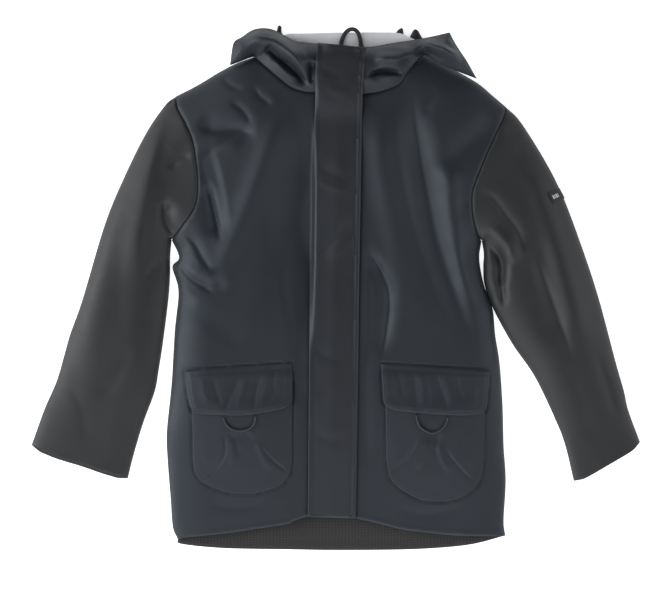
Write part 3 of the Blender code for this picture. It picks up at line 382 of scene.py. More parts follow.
def nearest(points, line):
    """Distance to a polyline, how far along it from 0 to 1, and the side: below 0 is its right."""
    line = np.asarray(line, float)
    a, b = line[:-1], line[1:]
    d = b - a
    length = np.linalg.norm(d, axis=1)
    run = np.concatenate([[0], np.cumsum(length)])
    gaps, alongs, sides = [], [], []
    size = max(1, 1500000 // len(a))
    for k0 in range(0, len(points), size):
        some = points[k0:k0 + size]
        rel = some[:, None, :] - a[None]
        t = np.clip((rel * d).sum(2) / np.maximum(length ** 2, 1e-9), 0, 1)
        gap = np.linalg.norm(rel - t[..., None] * d, axis=2)
        k = gap.argmin(1)
        rows = np.arange(len(some))
        gaps.append(gap[rows, k])
        alongs.append((run[k] + t[rows, k] * length[k]) / run[-1])
        sides.append(d[k, 0] * rel[rows, k, 1] - d[k, 1] * rel[rows, k, 0])
    return np.concatenate(gaps), np.concatenate(alongs), np.concatenate(sides)


def gap_to(points, *lines):
    """Distance to the nearest of the lines."""
    return np.min([nearest(points, line)[0] for line in lines], axis=0)


def closed(outline):
    return np.vstack([outline, outline[:1]])


def inside(points, outline):
    """Which points lie inside the closed outline."""
    found = []
    a, b = outline, np.roll(outline, -1, axis=0)
    rise = np.where(np.abs(b[:, 1] - a[:, 1]) < 1e-9, 1e-9, b[:, 1] - a[:, 1])
    for k0 in range(0, len(points), 4000):
        x, y = points[k0:k0 + 4000, 0:1], points[k0:k0 + 4000, 1:2]
        crosses = (a[:, 1] > y) != (b[:, 1] > y)
        at = a[:, 0] + (y - a[:, 1]) * (b[:, 0] - a[:, 0]) / rise
        found.append(((crosses & (x < at)).sum(1) % 2) == 1)
    return np.concatenate(found)


def ease(x):
    """Smooth step from 0 to 1."""
    x = np.clip(x, 0, 1)
    return x * x * (3 - 2 * x)


def bell(gap, width, at=0.0):
    """1 at that distance, falling to 0 over about twice the width."""
    return np.exp(-((gap - at) / width) ** 2)


# ---- the form of the cloth ---------------------------------------------------------------------

FREE = ["r_outer", "r_inner", "r_side", "r_shoulder", "l_outer", "l_inner", "l_side", "l_shoulder"]
HOOD_FREE = ["r_wing_top", "r_wing_low", "l_wing_top", "l_wing_out", "l_wing_low"]


def fold_height(points, table):
    """Round folds with the same slope on both sides."""
    total = np.zeros(len(points))
    for height, width, stations in table:
        gap, along, _ = nearest(points, curve_through(stations, 14))
        total += height * bell(gap, width) * ease(4 * along) * ease(4 * (1 - along))
    return total


def relief(points, table):
    """Creases and ridges that are steeper on one side, deepest in the middle of their length."""
    total = np.zeros(len(points))
    for height, one, other, sharp, stations in table:
        line = evenly(stations, 4.0)
        low, high = line.min(0) - 3 * max(one, other), line.max(0) + 3 * max(one, other)
        near = np.all((points > low) & (points < high), axis=1)
        if not near.any():
            continue
        gap, along, side = nearest(points[near], line)
        width = np.where(side < 0, one, other)
        total[near] += (height * np.exp(-(gap / width) ** sharp)
                        * ease(3.5 * along) * ease(3.5 * (1 - along)))
    return total


def steps(points, table):
    """Where the cloth folds over: the level falls just past the line and comes back further on."""
    total = np.zeros(len(points))
    for drop, fall, back, stations in table:
        line = evenly(stations, 2.0)
        gap, along, side = nearest(points, line)
        past = np.where(side < 0, gap, 0)
        total -= drop * ease(past / fall) * bell(past, back) * ease(6 * along) * ease(6 * (1 - along))
    return total


def hollows(points, table):
    """Flat-bottomed hollows between two lines, which fade out towards their ends."""
    total = np.zeros(len(points))
    for depth, near_run, far_run, near, far in table:
        near, far = evenly(near, 4.0), evenly(far, 4.0)
        within = inside(points, np.vstack([near, far[::-1]]))
        if not within.any():
            continue
        some = points[within]
        gap, along, _ = nearest(some, near)
        total[within] -= (depth * ease(gap / near_run) * ease(gap_to(some, far) / far_run)
                          * ease(3.5 * along) * ease(3.5 * (1 - along)))
    return total


def hood_lift(points):
    """How far the folded hood raises the cloth over it, which hangs as a soft tent from its edges."""
    x, y = points[:, 0], points[:, 1]
    return HOOD_RAISE * ease((x + 185) / 95) * ease((212 - x) / 95) * ease((y - 20) / 155)


def plain_front(points):
    """Top of the front cloth and sleeves, with the large folds only."""
    gap = gap_to(points, *(CURVES[n] for n in FREE))
    cuff = gap_to(points, CURVES["r_cuff"], CURVES["l_cuff"])
    hem = gap_to(points, CURVES["r_hem"], CURVES["l_hem"])
    low = (0.35 + 0.65 * ease(cuff / 150)) * (0.45 + 0.55 * ease(hem / 160))
    dome = DOME * (1 - (1 - np.clip(gap / DOME_REACH, 0, 1)) ** 2.2)
    folds = fold_height(points, FOLDS) * ease(gap / 22)
    return EDGE_Z + ROLL * (1 - np.exp(-gap / 3)) + (dome + folds) * low + hood_lift(points), gap


def front_height(points):
    """The same with its creases, broad hollows and sunken armhole seams."""
    plain, gap = plain_front(points)
    fine = (relief(points, RELIEF) + hollows(points, HOLLOWS)) * (0.25 + 0.75 * ease(gap / 12))
    return plain + fine - 1.1 * bell(gap_to(points, FINE["r_armhole"], FINE["l_armhole"]), 0.9)


def hood_height(points):
    """Top of the hood sides, which start at the neck seam and roll outwards."""
    x, y = points[:, 0], points[:, 1]
    gap = gap_to(points, *(CURVES[n] for n in HOOD_FREE))
    neck = gap_to(points, CURVES["r_neck"], CURVES["l_neck"][3:])
    neck = np.where(np.abs(x) < 30, np.minimum(neck, np.abs(y - NECK_Y)), neck)
    tips = np.minimum(np.hypot(x + 108.5, y - 240), np.hypot(x - 148.5, y - 219.5))
    base = 17 + 5 * ease((264 - y) / 22) - 7 * bell(tips, 20)
    rolled = base + 12 * (1 - (1 - np.clip(gap / 20, 0, 1)) ** 2.2) + fold_height(points, HOOD_FOLDS) * ease(gap / 6)
    rolled += relief(points, HOOD_RELIEF) * ease(gap / 4) + steps(points, HOOD_STEPS)
    part = ease(neck / 16)
    return front_height(points) * (1 - part) + rolled * part


def upper_height(points):
    """Top of the fronts and of the hood sides above the neck seam."""
    return np.where(points[:, 1] > NECK_Y, hood_height(points), front_height(points))


# ---- cutting and building ------------------------------------------------------------------------

def join(*parts):
    """One closed outline from curve names and points; a name that starts with - runs backwards."""
    rows = []
    for part in parts:
        if isinstance(part, str):
            c = FINE[part.lstrip("-")]
            part = c[::-1] if part.startswith("-") else c
        for p in np.atleast_2d(np.asarray(part, float)):
            if not rows or np.hypot(*(p - rows[-1])) > 0.05:
                rows.append(p)
    if np.hypot(*(rows[0] - rows[-1])) < 0.05:
        rows.pop()
    return np.array(rows)


def in_use(numbers, count):
    """The vertices that faces use, and the new number of each."""
    used = np.unique(numbers)
    renumber = np.full(count, -1)
    renumber[used] = np.arange(len(used))
    return used, renumber


def cut(outline, step, lines=()):
    """Triangles inside an outline that also follow the lines on it."""
    turn = np.roll(outline, -1, axis=0)
    if (outline[:, 0] * turn[:, 1] - turn[:, 0] * outline[:, 1]).sum() < 0:
        outline = outline[::-1]
    (x0, y0), (x1, y1) = outline.min(0), outline.max(0)
    grid = []
    for j, y in enumerate(np.arange(y0, y1, step * 0.87)):
        grid += [(x, y) for x in np.arange(x0 + (j % 2) * step / 2, x1, step)]
    grid = np.array(grid)
    grid = grid[inside(grid, outline)]
    rim = closed(outline)
    grid = grid[gap_to(grid, rim) > 0.6 * step]
    n = len(outline)
    rows, edges = [outline], [(i, (i + 1) % n) for i in range(n)]
    for line in lines:
        line = np.asarray(line, float)
        line = line[inside(line, outline)]
        if len(line) < 2:
            continue
        line = line[gap_to(line, rim) > 0.35 * step]
        if len(line) < 2:
            continue
        grid = grid[gap_to(grid, line) > 0.5 * step]
        at = sum(len(r) for r in rows)
        rows.append(line)
        edges += [(at + i, at + i + 1) for i in range(len(line) - 1)
                  if np.hypot(*(line[i + 1] - line[i])) < 4 * step]
    rows.append(grid)
    verts = [Vector((float(x), float(y))) for x, y in np.vstack(rows)]
    v, _, f, *_ = geometry.delaunay_2d_cdt(verts, edges, [], 0, 1e-4, False)
    points = np.array([tuple(p) for p in v])
    faces = np.array([tuple(t) for t in f])
    faces = faces[inside(points[faces].mean(1), outline)]
    used, renumber = in_use(faces, len(points))
    faces, points = renumber[faces], points[used]
    a, b, c = points[faces[:, 0]], points[faces[:, 1]], points[faces[:, 2]]
    turn = (b[:, 0] - a[:, 0]) * (c[:, 1] - a[:, 1]) - (b[:, 1] - a[:, 1]) * (c[:, 0] - a[:, 0])
    faces = np.where((turn < 0)[:, None], faces[:, ::-1], faces)
    return points, faces


def rim_of(faces):
    """The outline's vertices in order, one list for each closed run."""
    directed = {(int(t[i]), int(t[(i + 1) % 3])) for t in faces for i in range(3)}
    after = {a: b for a, b in directed if (b, a) not in directed}
    runs = []
    while after:
        start = min(after)
        run, k = [], start
        while k in after:
            run.append(k)
            k = after.pop(k)
        runs.append(run)
    return runs


def inward(edge):
    """Unit steps into the cloth at each point of a closed run."""
    ahead = np.roll(edge, -1, axis=0) - np.roll(edge, 1, axis=0)
    n = np.column_stack([-ahead[:, 1], ahead[:, 0]])
    return n / np.maximum(np.linalg.norm(n, axis=1), 1e-6)[:, None]


def thicken(obj, wall, offset=-1):
    """Gives a single surface its wall."""
    solid = obj.modifiers.new("cloth", "SOLIDIFY")
    solid.thickness, solid.offset = wall * MM, offset
    return obj


def mesh_object(name, points, faces, materials, picks=None, wear=None):
    """A smooth mesh from millimetres, with how near each point is to a worn rim."""
    mesh = bpy.data.meshes.new(name)
    mesh.from_pydata([tuple(float(c) * MM for c in p) for p in points], [],
                     [tuple(int(i) for i in f) for f in faces])
    mesh.update()
    for m in materials if isinstance(materials, (list, tuple)) else [materials]:
        mesh.materials.append(m)
    mesh.polygons.foreach_set("use_smooth", [True] * len(mesh.polygons))
    if picks is not None:
        mesh.polygons.foreach_set("material_index", [int(i) for i in picks])
    layer = mesh.attributes.new("rim", "FLOAT", "POINT")
    layer.data.foreach_set("value", [float(w) for w in (wear if wear is not None else np.zeros(len(points)))])
    obj = bpy.data.objects.new(name, mesh)
    scene.collection.objects.link(obj)
    return obj


def panel(name, outline, top, materials, lines=(), step=STEP, wall=CLOTH, pull=0.12, rounding=0.35):
    """A sheet of cloth with a rounded edge. top gives its upper face; materials are upper, then lower."""
    points, faces = cut(outline, step, lines)
    runs = rim_of(faces)
    z = top(points)
    wear = np.exp(-gap_to(points, closed(outline)) / RIM_WEAR)
    m = len(points)
    upper = np.column_stack([points, z])
    lower = np.column_stack([points, z - wall])
    rows, tris = [upper, lower], [tuple(t) for t in faces] + [tuple(t[::-1] + m) for t in faces]
    picks = [0] * len(faces) + [1] * len(faces)
    at = 2 * m
    for run in runs:
        edge = points[run]
        step_in = inward(edge)
        upper[run, :2] = edge + step_in * (pull + rounding)
        lower[run, :2] = edge + step_in * (pull + rounding)
        upper[run, 2] -= 0.1 * wall
        lower[run, 2] += 0.1 * wall
        rows.append(np.column_stack([edge + step_in * pull, z[run] - wall / 2]))
        n = len(run)
        for j in range(n):
            k = (j + 1) % n
            a, b, c, d = run[j], run[k], at + j, at + k
            tris += [(b, a, c), (b, c, d), (d, c, a + m), (d, a + m, b + m)]
            picks += [0, 0, 0, 0]
        at += n
    wears = np.concatenate([wear, wear, np.ones(at - 2 * m)])
    two = isinstance(materials, (list, tuple))
    return mesh_object(name, np.vstack(rows), tris, materials, picks if two else None, wears)


def stitches(name, lines, top, material, pitch=3.1, long=2.3, wide=0.5, lift=0.12):
    """Rows of stitches that lie in the cloth, as one mesh: each is a short thread with sunken ends."""
    points, faces = [], []
    for line in lines:
        dense = evenly(line, 0.5) if len(line) < 60 else np.asarray(line, float)
        run = np.concatenate([[0], np.cumsum(np.linalg.norm(np.diff(dense, axis=0), axis=1))])
        count = int(run[-1] // pitch)
        for i in range(count):
            s = (i + 0.5) * pitch
            cuts = np.array([s - long / 2, s - long / 4, s, s + long / 4, s + long / 2])
            centre = np.column_stack([np.interp(cuts, run, dense[:, k]) for k in (0, 1)])
            ahead = centre[-1] - centre[0]
            ahead /= max(np.linalg.norm(ahead), 1e-6)
            side = np.array([-ahead[1], ahead[0]])
            points.append((centre, side, wide / 2 * (1 + random.uniform(-0.1, 0.1))))
    if not points:
        return None
    centres = np.vstack([p[0] for p in points])
    z = top(centres).reshape(-1, 5)
    rows = []
    profile = [(-1.0, 0.0), (-0.6, 0.55), (0.0, 0.8), (0.6, 0.55), (1.0, 0.0)]
    swell = [0.25, 0.85, 1.0, 0.85, 0.25]
    for i, (centre, side, half) in enumerate(points):
        at = len(rows)
        for j in range(5):
            for across, up in profile:
                p = centre[j] + side * half * across * swell[j]
                rows.append((p[0], p[1], z[i, j] + lift * swell[j] + (up * half * 2 * swell[j]) - 0.1))
        for j in range(4):
            for k in range(4):
                a = at + 5 * j + k
                faces += [(a, a + 1, a + 6, a + 5)]
    faces = [f[::-1] for f in faces]
    return mesh_object(name, rows, faces, material)


def sleeve(name, side, material, longer=0.0):
    """The sleeve as one tube: upper and lower cloth that turn into each other along two folds."""
    outline = join("-" + side + "_armhole", side + "_outer", side + "_cuff", "-" + side + "_inner")
    points, faces = cut(outline, STEP)
    z = front_height(points)
    along_fold = gap_to(points, FINE[side + "_outer"], FINE[side + "_inner"])
    cuff_gap = gap_to(points, FINE[side + "_cuff"])
    run = max(rim_of(faces), key=len)
    m, n = len(points), len(run)
    upper = np.column_stack([points, z])
    lower = np.column_stack([points, 0.35 + 0.5 * (1 - np.exp(-along_fold / 8))])
    edge, step_in = points[run], inward(points[run])
    folds = along_fold[run] < FOLD_SIGHT
    ends = (cuff_gap[run] < FOLD_SIGHT) & ~folds
    middle = ease(along_fold[run] / 12)
    for k, v in enumerate(run):
        if folds[k]:
            upper[v, :2] = edge[k] + step_in[k] * 1.0
            lower[v, :2] = edge[k] + step_in[k] * 1.2
        elif ends[k]:
            upper[v, :2] = edge[k] + step_in[k] * 0.2
            lower[v, :2] = edge[k] - step_in[k] * longer * middle[k]
    tris = [tuple(t) for t in faces] + [tuple(t[::-1] + m) for t in faces]
    at = 2 * m
    bends = [np.column_stack([edge + step_in * back, upper[run, 2] * share + lower[run, 2] * (1 - share)])
             for back, share in ((0.4, 0.8), (0.15, 0.5), (0.5, 0.2))]
    for j in range(n):
        k = (j + 1) % n
        if not (folds[j] and folds[k]):
            continue
        levels = [(run[j], run[k]), (at + j, at + k), (at + n + j, at + n + k), (at + 2 * n + j, at + 2 * n + k),
                  (run[j] + m, run[k] + m)]
        for (a, b), (c, d) in zip(levels, levels[1:]):
            tris += [(b, a, c), (b, c, d)]
    worn = np.exp(-cuff_gap / RIM_WEAR)
    wear = np.concatenate([worn, worn, np.zeros(3 * n)])
    tube = np.vstack([upper, lower] + bends)
    used, renumber = in_use([i for t in tris for i in t], len(tube))
    obj = mesh_object(name, tube[used], [tuple(renumber[list(t)]) for t in tris], material, None, wear[used])
    return thicken(obj, PACKED_WALL)


# ---- materials -----------------------------------------------------------------------------------

class Finish:
    """A node material in the object's own space."""

    def __init__(self, name):
        self.material = bpy.data.materials.new(name)
        self.material.use_nodes = True
        self.nodes, self.links = self.material.node_tree.nodes, self.material.node_tree.links
        self.shader = self.nodes["Principled BSDF"]
        self.where = self.nodes.new("ShaderNodeTexCoord").outputs["Object"]

    def join(self, output, socket):
        self.links.new(output, socket)

    def noise(self, scale, detail, roughness=0.5):
        n = self.nodes.new("ShaderNodeTexNoise")
        for socket, value in (("Scale", scale), ("Detail", detail), ("Roughness", roughness)):
            n.inputs[socket].default_value = value
        self.join(self.where, n.inputs["Vector"])
        return n.outputs["Fac"]

    def ranged(self, value, low, high, a=0.3, b=0.7):
        n = self.nodes.new("ShaderNodeMapRange")
        for socket, v in (("From Min", a), ("From Max", b), ("To Min", low), ("To Max", high)):
            n.inputs[socket].default_value = v
        self.join(value, n.inputs["Value"])
        return n.outputs["Result"]

    def blend(self, factor, first, second):
        n = self.nodes.new("ShaderNodeMix")
        n.data_type = "RGBA"
        for key, value in ((6, first), (7, second)):
            if isinstance(value, tuple):
                n.inputs[key].default_value = (*value, 1.0)
            else:
                self.join(value, n.inputs[key])
        self.join(factor, n.inputs[0])
        return n.outputs[2]

    def math(self, operation, first, second):
        n = self.nodes.new("ShaderNodeMath")
        n.operation = operation
        self.join(first, n.inputs[0])
        self.join(second, n.inputs[1])
        return n.outputs["Value"]

    def waves(self, sizes, distortion, detail=2.0):
        """Bands across X, then across Y, of those widths in millimetres."""
        made = []
        for direction, size in zip("XY", sizes):
            w = self.nodes.new("ShaderNodeTexWave")
            w.bands_direction = direction
            for socket, value in (("Scale", 1 / (10 * size * MM)), ("Distortion", distortion), ("Detail", detail)):
                w.inputs[socket].default_value = value
            self.join(self.where, w.inputs["Vector"])
            made.append(w.outputs["Fac"])
        return made

    def colour(self, output):
        self.join(output, self.shader.inputs["Base Color"])

    def roughness(self, output):
        self.join(output, self.shader.inputs["Roughness"])

    def bumps(self, heights):
        """Bump layers one over another: (height output, distance in mm, strength)."""
        last = None
        for height, distance, strength in heights:
            b = self.nodes.new("ShaderNodeBump")
            b.inputs["Distance"].default_value = distance * MM
            b.inputs["Strength"].default_value = strength
            self.join(height, b.inputs["Height"])
            if last is not None:
                self.join(last, b.inputs["Normal"])
            last = b.outputs["Normal"]
        self.join(last, self.shader.inputs["Normal"])

    def plain(self, **values):
        """Values that are the same all over, such as Sheen_Weight."""
        for socket, value in values.items():
            self.shader.inputs[socket.replace("_", " ")].default_value = value


def coated_cloth(name, dark, light, rough, gloss, grain=0.35):
    """Smooth polyurethane coating: satin, with a fine leathery grain and soft uneven gloss."""
    f = Finish(name)
    broad, patchy, fine = f.noise(9.0, 3), f.noise(60.0, 4, 0.6), f.noise(900.0, 3, 0.6)
    cells = f.nodes.new("ShaderNodeTexVoronoi")
    cells.inputs["Scale"].default_value = 1400.0
    f.join(f.where, cells.inputs["Vector"])
    rim = f.nodes.new("ShaderNodeAttribute")
    rim.attribute_name = "rim"
    worn = rim.outputs["Fac"]
    base = f.blend(f.ranged(broad, 0, 1), dark, light)
    speck = f.blend(f.ranged(fine, 0, 0.35), base, tuple(1.25 * c for c in light))
    f.colour(f.blend(f.ranged(worn, 0, 0.35, 0.1, 1.0), speck, tuple(1.2 * c for c in light)))
    f.roughness(f.math("ADD", f.ranged(patchy, rough - 0.035, rough + 0.035), f.ranged(worn, 0, 0.06, 0.1, 1.0)))
    f.bumps([(broad, 1.2, 0.25), (patchy, 0.35, 0.35), (cells.outputs["Distance"], 0.05, grain), (fine, 0.04, grain)])
    f.plain(Specular_IOR_Level=0.5, Specular_Tint=(*gloss, 1.0), Sheen_Weight=0.03, Sheen_Roughness=0.4)
    return f.material


def knit(name, dark, light, pitch=1.1):
    """Jersey backing: fine wales along the garment, with stitches across them."""
    f = Finish(name)
    loops = f.math("MULTIPLY", *f.waves((pitch, pitch * 0.8), 0.8, 1.0))
    fuzz, broad = f.noise(700.0, 4, 0.7), f.noise(22.0, 3)
    f.colour(f.blend(f.ranged(broad, 0, 0.4), f.blend(f.ranged(loops, 0, 1, 0.0, 0.9), dark, light), dark))
    f.roughness(f.ranged(fuzz, 0.8, 0.95))
    f.bumps([(loops, 0.3, 0.6), (fuzz, 0.15, 0.6)])
    f.plain(Sheen_Weight=0.25, Sheen_Roughness=0.5)
    return f.material


def woven(name, dark, light, pitch, rough=0.65, depth=0.12):
    """Plain weave of threads at that pitch in millimetres."""
    f = Finish(name)
    threads = f.math("MAXIMUM", *f.waves((pitch, pitch), 0.4))
    fuzz, broad = f.noise(500.0, 3, 0.6), f.noise(40.0, 2)
    f.colour(f.blend(f.ranged(broad, 0, 0.3), f.blend(f.ranged(threads, 0, 1, 0.3, 1.0), dark, light), dark))
    f.roughness(f.ranged(fuzz, rough - 0.06, rough + 0.06))
    f.bumps([(threads, depth, 0.7), (fuzz, 0.06, 0.4)])
    return f.material


SHELL = coated_cloth("shell_coating", (0.0085, 0.0100, 0.0132), (0.0105, 0.0122, 0.0160), 0.56, (0.80, 0.90, 1.0))
SLEEVE_SHELL = coated_cloth("sleeve_coating", (0.0090, 0.0097, 0.0110), (0.0112, 0.0120, 0.0135), 0.56,
                            (0.95, 0.97, 1.0))
TRIM_SHELL = coated_cloth("placket_coating", (0.0085, 0.0095, 0.0120), (0.0105, 0.0117, 0.0148), 0.52,
                          (0.86, 0.92, 1.0), 0.5)
KNIT = knit("jersey_backing", (0.011, 0.010, 0.0102), (0.030, 0.0272, 0.0278))
LINING_WHITE = woven("lining_weave", (0.62, 0.64, 0.67), (0.80, 0.81, 0.83), 0.55, 0.7, 0.08)
TAPE = woven("tape_weave", (0.012, 0.013, 0.016), (0.038, 0.040, 0.048), 0.7, 0.7, 0.2)
CORD = woven("cord_braid", (0.008, 0.008, 0.009), (0.024, 0.024, 0.026), 0.8, 0.6, 0.25)
LABEL_BLACK = woven("label_satin", (0.003, 0.003, 0.0035), (0.008, 0.008, 0.009), 0.35, 0.65, 0.05)
LABEL_MARK = woven("label_mark_thread", (0.45, 0.45, 0.46), (0.66, 0.66, 0.67), 0.4, 0.6, 0.1)
THREAD = woven("sewing_thread", (0.008, 0.009, 0.011), (0.022, 0.024, 0.028), 0.3, 0.6, 0.1)


# ---- camera and cords ------------------------------------------------------------------------------

FRAME_WIDTH = 0.6867
CAMERA_HEIGHT = 4.0
lens = bpy.data.cameras.new("camera")
lens.sensor_width = 36.0
lens.lens = 36.0 * (CAMERA_HEIGHT - 0.015) / FRAME_WIDTH
lens.clip_end = 30.0
camera = bpy.data.objects.new("camera", lens)
camera.location = (-0.0092, -0.0126, CAMERA_HEIGHT)
scene.collection.objects.link(camera)
scene.camera = camera

PATCH_LINES = {name: evenly(stations, 1.8) for name, stations in PATCHES.items()}
FLAP_TOPS = [np.array([PATCHES[n][0], PATCHES[n][-1]], float) for n in ("flap_right", "flap_left")]


def patch_closed(name):
    """A pocket's or flap's outline with its top edge, back to its first point."""
    line = PATCH_LINES[name]
    top = evenly([tuple(line[-1]), tuple(line[0])], 1.8)
    return np.vstack([line, top[1:]])


def pocket_lift(points):
    """How far a pocket stands off the front below it."""
    rise = np.full(len(points), LAY)
    for name in ("pocket_right", "pocket_left"):
        line = patch_closed(name)
        within = inside(points, line[:-1])
        rise += np.where(within, 1.3 * ease(gap_to(points, line) / 34), 0)
    return rise


def pocket_top(points):
    """The pocket over the front, with its darts and its sewn edge."""
    edge = gap_to(points, PATCH_LINES["pocket_right"], PATCH_LINES["pocket_left"])
    z = front_height(points) + pocket_lift(points) + CLOTH + 0.3
    z += 0.55 * relief(points, POCKET_RELIEF) * ease(edge / 5)
    return z - 0.3 * bell(edge, GROOVE, POCKET_STITCH) - 0.15 * np.exp(-edge / GROOVE)


def flap_top(points):
    """The flap lies on the front at its top seam and on the pocket below."""
    y = points[:, 1]
    base = front_height(points)
    over = pocket_lift(points) + CLOTH + 0.3 + LAY
    part = ease((-81.0 - y) / 13)
    z = base + LAY * (1 - part) + (over + 1.1 + 1.6 * ease((-112.0 - y) / 16)) * part + CLOTH
    edge = gap_to(points, PATCH_LINES["flap_right"], PATCH_LINES["flap_left"])
    seam = gap_to(points, *FLAP_TOPS)
    z += 0.6 * relief(points, FLAP_RELIEF) * ease(edge / 5) * ease(seam / 6)
    z += 0.2 * bell(edge, 2.0, 5.5) * part - 0.35 * bell(edge, GROOVE, FLAP_STITCH)
    z += 0.4 * bell(seam, 1.8, 2.4) - 0.5 * bell(seam, GROOVE, FLAP_SEAM_STITCH)
    return z - 0.3 * np.exp(-edge / GROOVE)


def cord_loop(node, stations):
    """A round cord loop that comes out below the flap, lies on the pocket and goes back in."""
    name = node + "_cord"
    line = curve_through(stations, 30)
    z = front_height(line) + pocket_lift(line) + WALL + LAY + 0.3 + LOOP_DIAMETER / 2
    curve = bpy.data.curves.new(name, "CURVE")
    curve.dimensions = "3D"
    curve.bevel_depth = LOOP_DIAMETER / 2 * MM
    curve.bevel_resolution = 6
    curve.use_fill_caps = True
    spline = curve.splines.new("POLY")
    spline.points.add(len(line) - 1)
    route = np.column_stack([line, z]) * MM
    for point, p in zip(spline.points, route):
        point.co = (*(float(c) for c in p), 1.0)
    obj = bpy.data.objects.new(name, curve)
    scene.collection.objects.link(obj)
    curve.materials.append(CORD)
    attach(obj, "root")
    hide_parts(node)


for node, stations in LOOPS.items():
    cord_loop(node, stations)


# ---- pieces ----------------------------------------------------------------------------------------

def keep(obj, node, extras=()):
    """Ties a sheet of cloth and its extras to the root body and hides the solid it stands for."""
    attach(obj, "root")
    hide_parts(*([node] if isinstance(node, str) else node))
    for extra in extras:
        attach(extra, "root")


def inset(line, distance):
    """A line moved to its left by that distance."""
    line = np.asarray(line, float)
    ahead = np.gradient(line, axis=0)
    n = np.column_stack([-ahead[:, 1], ahead[:, 0]])
    return line + n / np.linalg.norm(n, axis=1)[:, None] * distance


def darts(side):
    """The two sewn darts that run from each pocket's rounded corners."""
    ends = (0, 3) if side == "right" else (6, 8)
    return [evenly(curve_through(POCKET_RELIEF[k][-1], 6), 1.0) for k in ends]


centre = FINE["centre"]
right_outline = join([centre[0]], "r_hem", "-r_side", "-r_armhole", "r_shoulder", "r_neck", "-centre")
left_outline = join("centre", "-l_neck", "-l_shoulder", "l_armhole", "l_side", "-l_hem")
free_side = np.vstack([FINE["free_edge"], FINE["free_edge_top"][1:]])
seam_side = np.vstack([FINE["seam_edge"], FINE["seam_edge_top"][1:]])
placket_outline = join(free_side, [FINE["centre_top"][-1]], seam_side[::-1], [centre[0]])


def front_top(points):
    """The fronts: a hem turned up once, and side edges that roll down to the back."""
    z = front_height(points)
    z += 0.35 * bell(gap_to(points, FINE["r_hem"], FINE["l_hem"]), 2.2, 2.5)
    side = gap_to(points, *(FINE[n] for n in ("r_side", "l_side", "r_shoulder", "l_shoulder")))
    z -= 0.8 * bell(side, 1.2) + bell(gap_to(points, FINE["r_neck"], FINE["l_neck"]), 1.4)
    below = inside(points, placket_outline)
    z -= np.where(below, 2.6 * ease(gap_to(points, closed(placket_outline)) / 4), 0)
    for name in PATCH_LINES:
        line = patch_closed(name)
        z -= np.where(inside(points, line[:-1]), 0, 1.3 * bell(gap_to(points, line), 1.3))
    return z


front_right = panel("front_right_cloth", right_outline, front_top, [SHELL, KNIT],
                    lines=[inset(FINE["r_side"], 3), inset(FINE["r_armhole"], 3)])
keep(front_right, "front_right")
front_left = panel("front_left_cloth", left_outline, front_top, [SHELL, KNIT])
keep(front_left, "front_left")


def placket_top(points):
    """The placket: it bridges the step up to the hood, and its free edge stands a little proud."""
    free, seam = gap_to(points, free_side), gap_to(points, seam_side)
    here = upper_height(points)
    near_by, weights = 0, 0
    for d in np.arange(-12.0, 45.0, 4.0):
        ahead = np.stack([points[:, 0], np.minimum(points[:, 1] + d, PLACKET_REACH)], 1)
        weight = bell(d, 15, 16)
        near_by, weights = near_by + weight * np.exp(BRIDGE * upper_height(ahead)), weights + weight
    z = np.maximum(here, np.log(near_by / weights) / BRIDGE)
    z += LAY + CLOTH + 0.2 + 1.4 * ease((190 - points[:, 1]) / 60)
    z += 0.9 * bell(free, 3.6) + relief(points, PLACKET_RELIEF) * ease(free / 4) * ease(seam / 4)
    z -= 0.9 * bell(seam, 1.0) + 0.8 * bell(seam, 0.9, PLACKET_STITCH)
    return z + 0.2 * bell(seam, 1.6, 3.2) - 0.15 * bell(free, 1.6, 6.0)


seam_stitch = inset(seam_side, PLACKET_STITCH)
placket = panel("placket_cloth", placket_outline, placket_top, [TRIM_SHELL, KNIT], lines=[seam_stitch], step=2.0)
placket_stitches = stitches("placket_stitches", [evenly(seam_stitch[::6], 1.0)], placket_top, THREAD)
keep(placket, "front_placket",
     extras=[placket_stitches])

# Sleeves
for side, longer in (("right", 2.4), ("left", 1.2)):
    node = "sleeve_" + side
    keep(sleeve(node + "_cloth", side[0], SLEEVE_SHELL, longer), [node, node + "_under"])

# Pockets and flaps
for side, w, h in (("right", 107, 118), ("left", 105, 126)):
    node = "pocket_" + side
    cloth = panel(node + "_cloth", patch_closed(node)[:-1], pocket_top, [SHELL, KNIT], step=1.45)
    rows = [inset(PATCH_LINES[node], POCKET_STITCH)] + darts(side)
    sewn = stitches(node + "_stitches", rows, pocket_top, THREAD)
    keep(cloth, node, extras=[sewn])
    node = "flap_" + side
    cloth = panel(node + "_cloth", patch_closed(node)[:-1], flap_top, [SHELL, KNIT], step=1.7)
    first, last = FLAP_TOPS[0 if side == "right" else 1]
    rows = [inset(PATCH_LINES[node], FLAP_STITCH),
            evenly([tuple(last + (-3, -FLAP_SEAM_STITCH)), tuple(first + (3, -FLAP_SEAM_STITCH))], 1.0)]
    sewn = stitches(node + "_stitches", rows, flap_top, THREAD)
    keep(cloth, node, extras=[sewn])

# Back
back_outline = join("-r_side", "-r_armhole", "r_shoulder", "back_neck", "-l_shoulder", "l_armhole", "l_side",
                    "-back_hem")


def back_top(points):
    """The back as it lies, with its hem turned up."""
    hem = gap_to(points, FINE["back_hem"])
    return WALL + hood_lift(points) + 0.5 * bell(hem, 2.2, 2.0) - 0.3 * bell(hem, 1.0, BACK_STITCH)


back = panel("back_panel_cloth", back_outline, back_top, [KNIT, SHELL], step=3.6)
back_stitches = stitches("back_hem_stitches", [inset(FINE["back_hem"], BACK_STITCH)], back_top, THREAD)
keep(back, "back_panel", extras=[back_stitches])

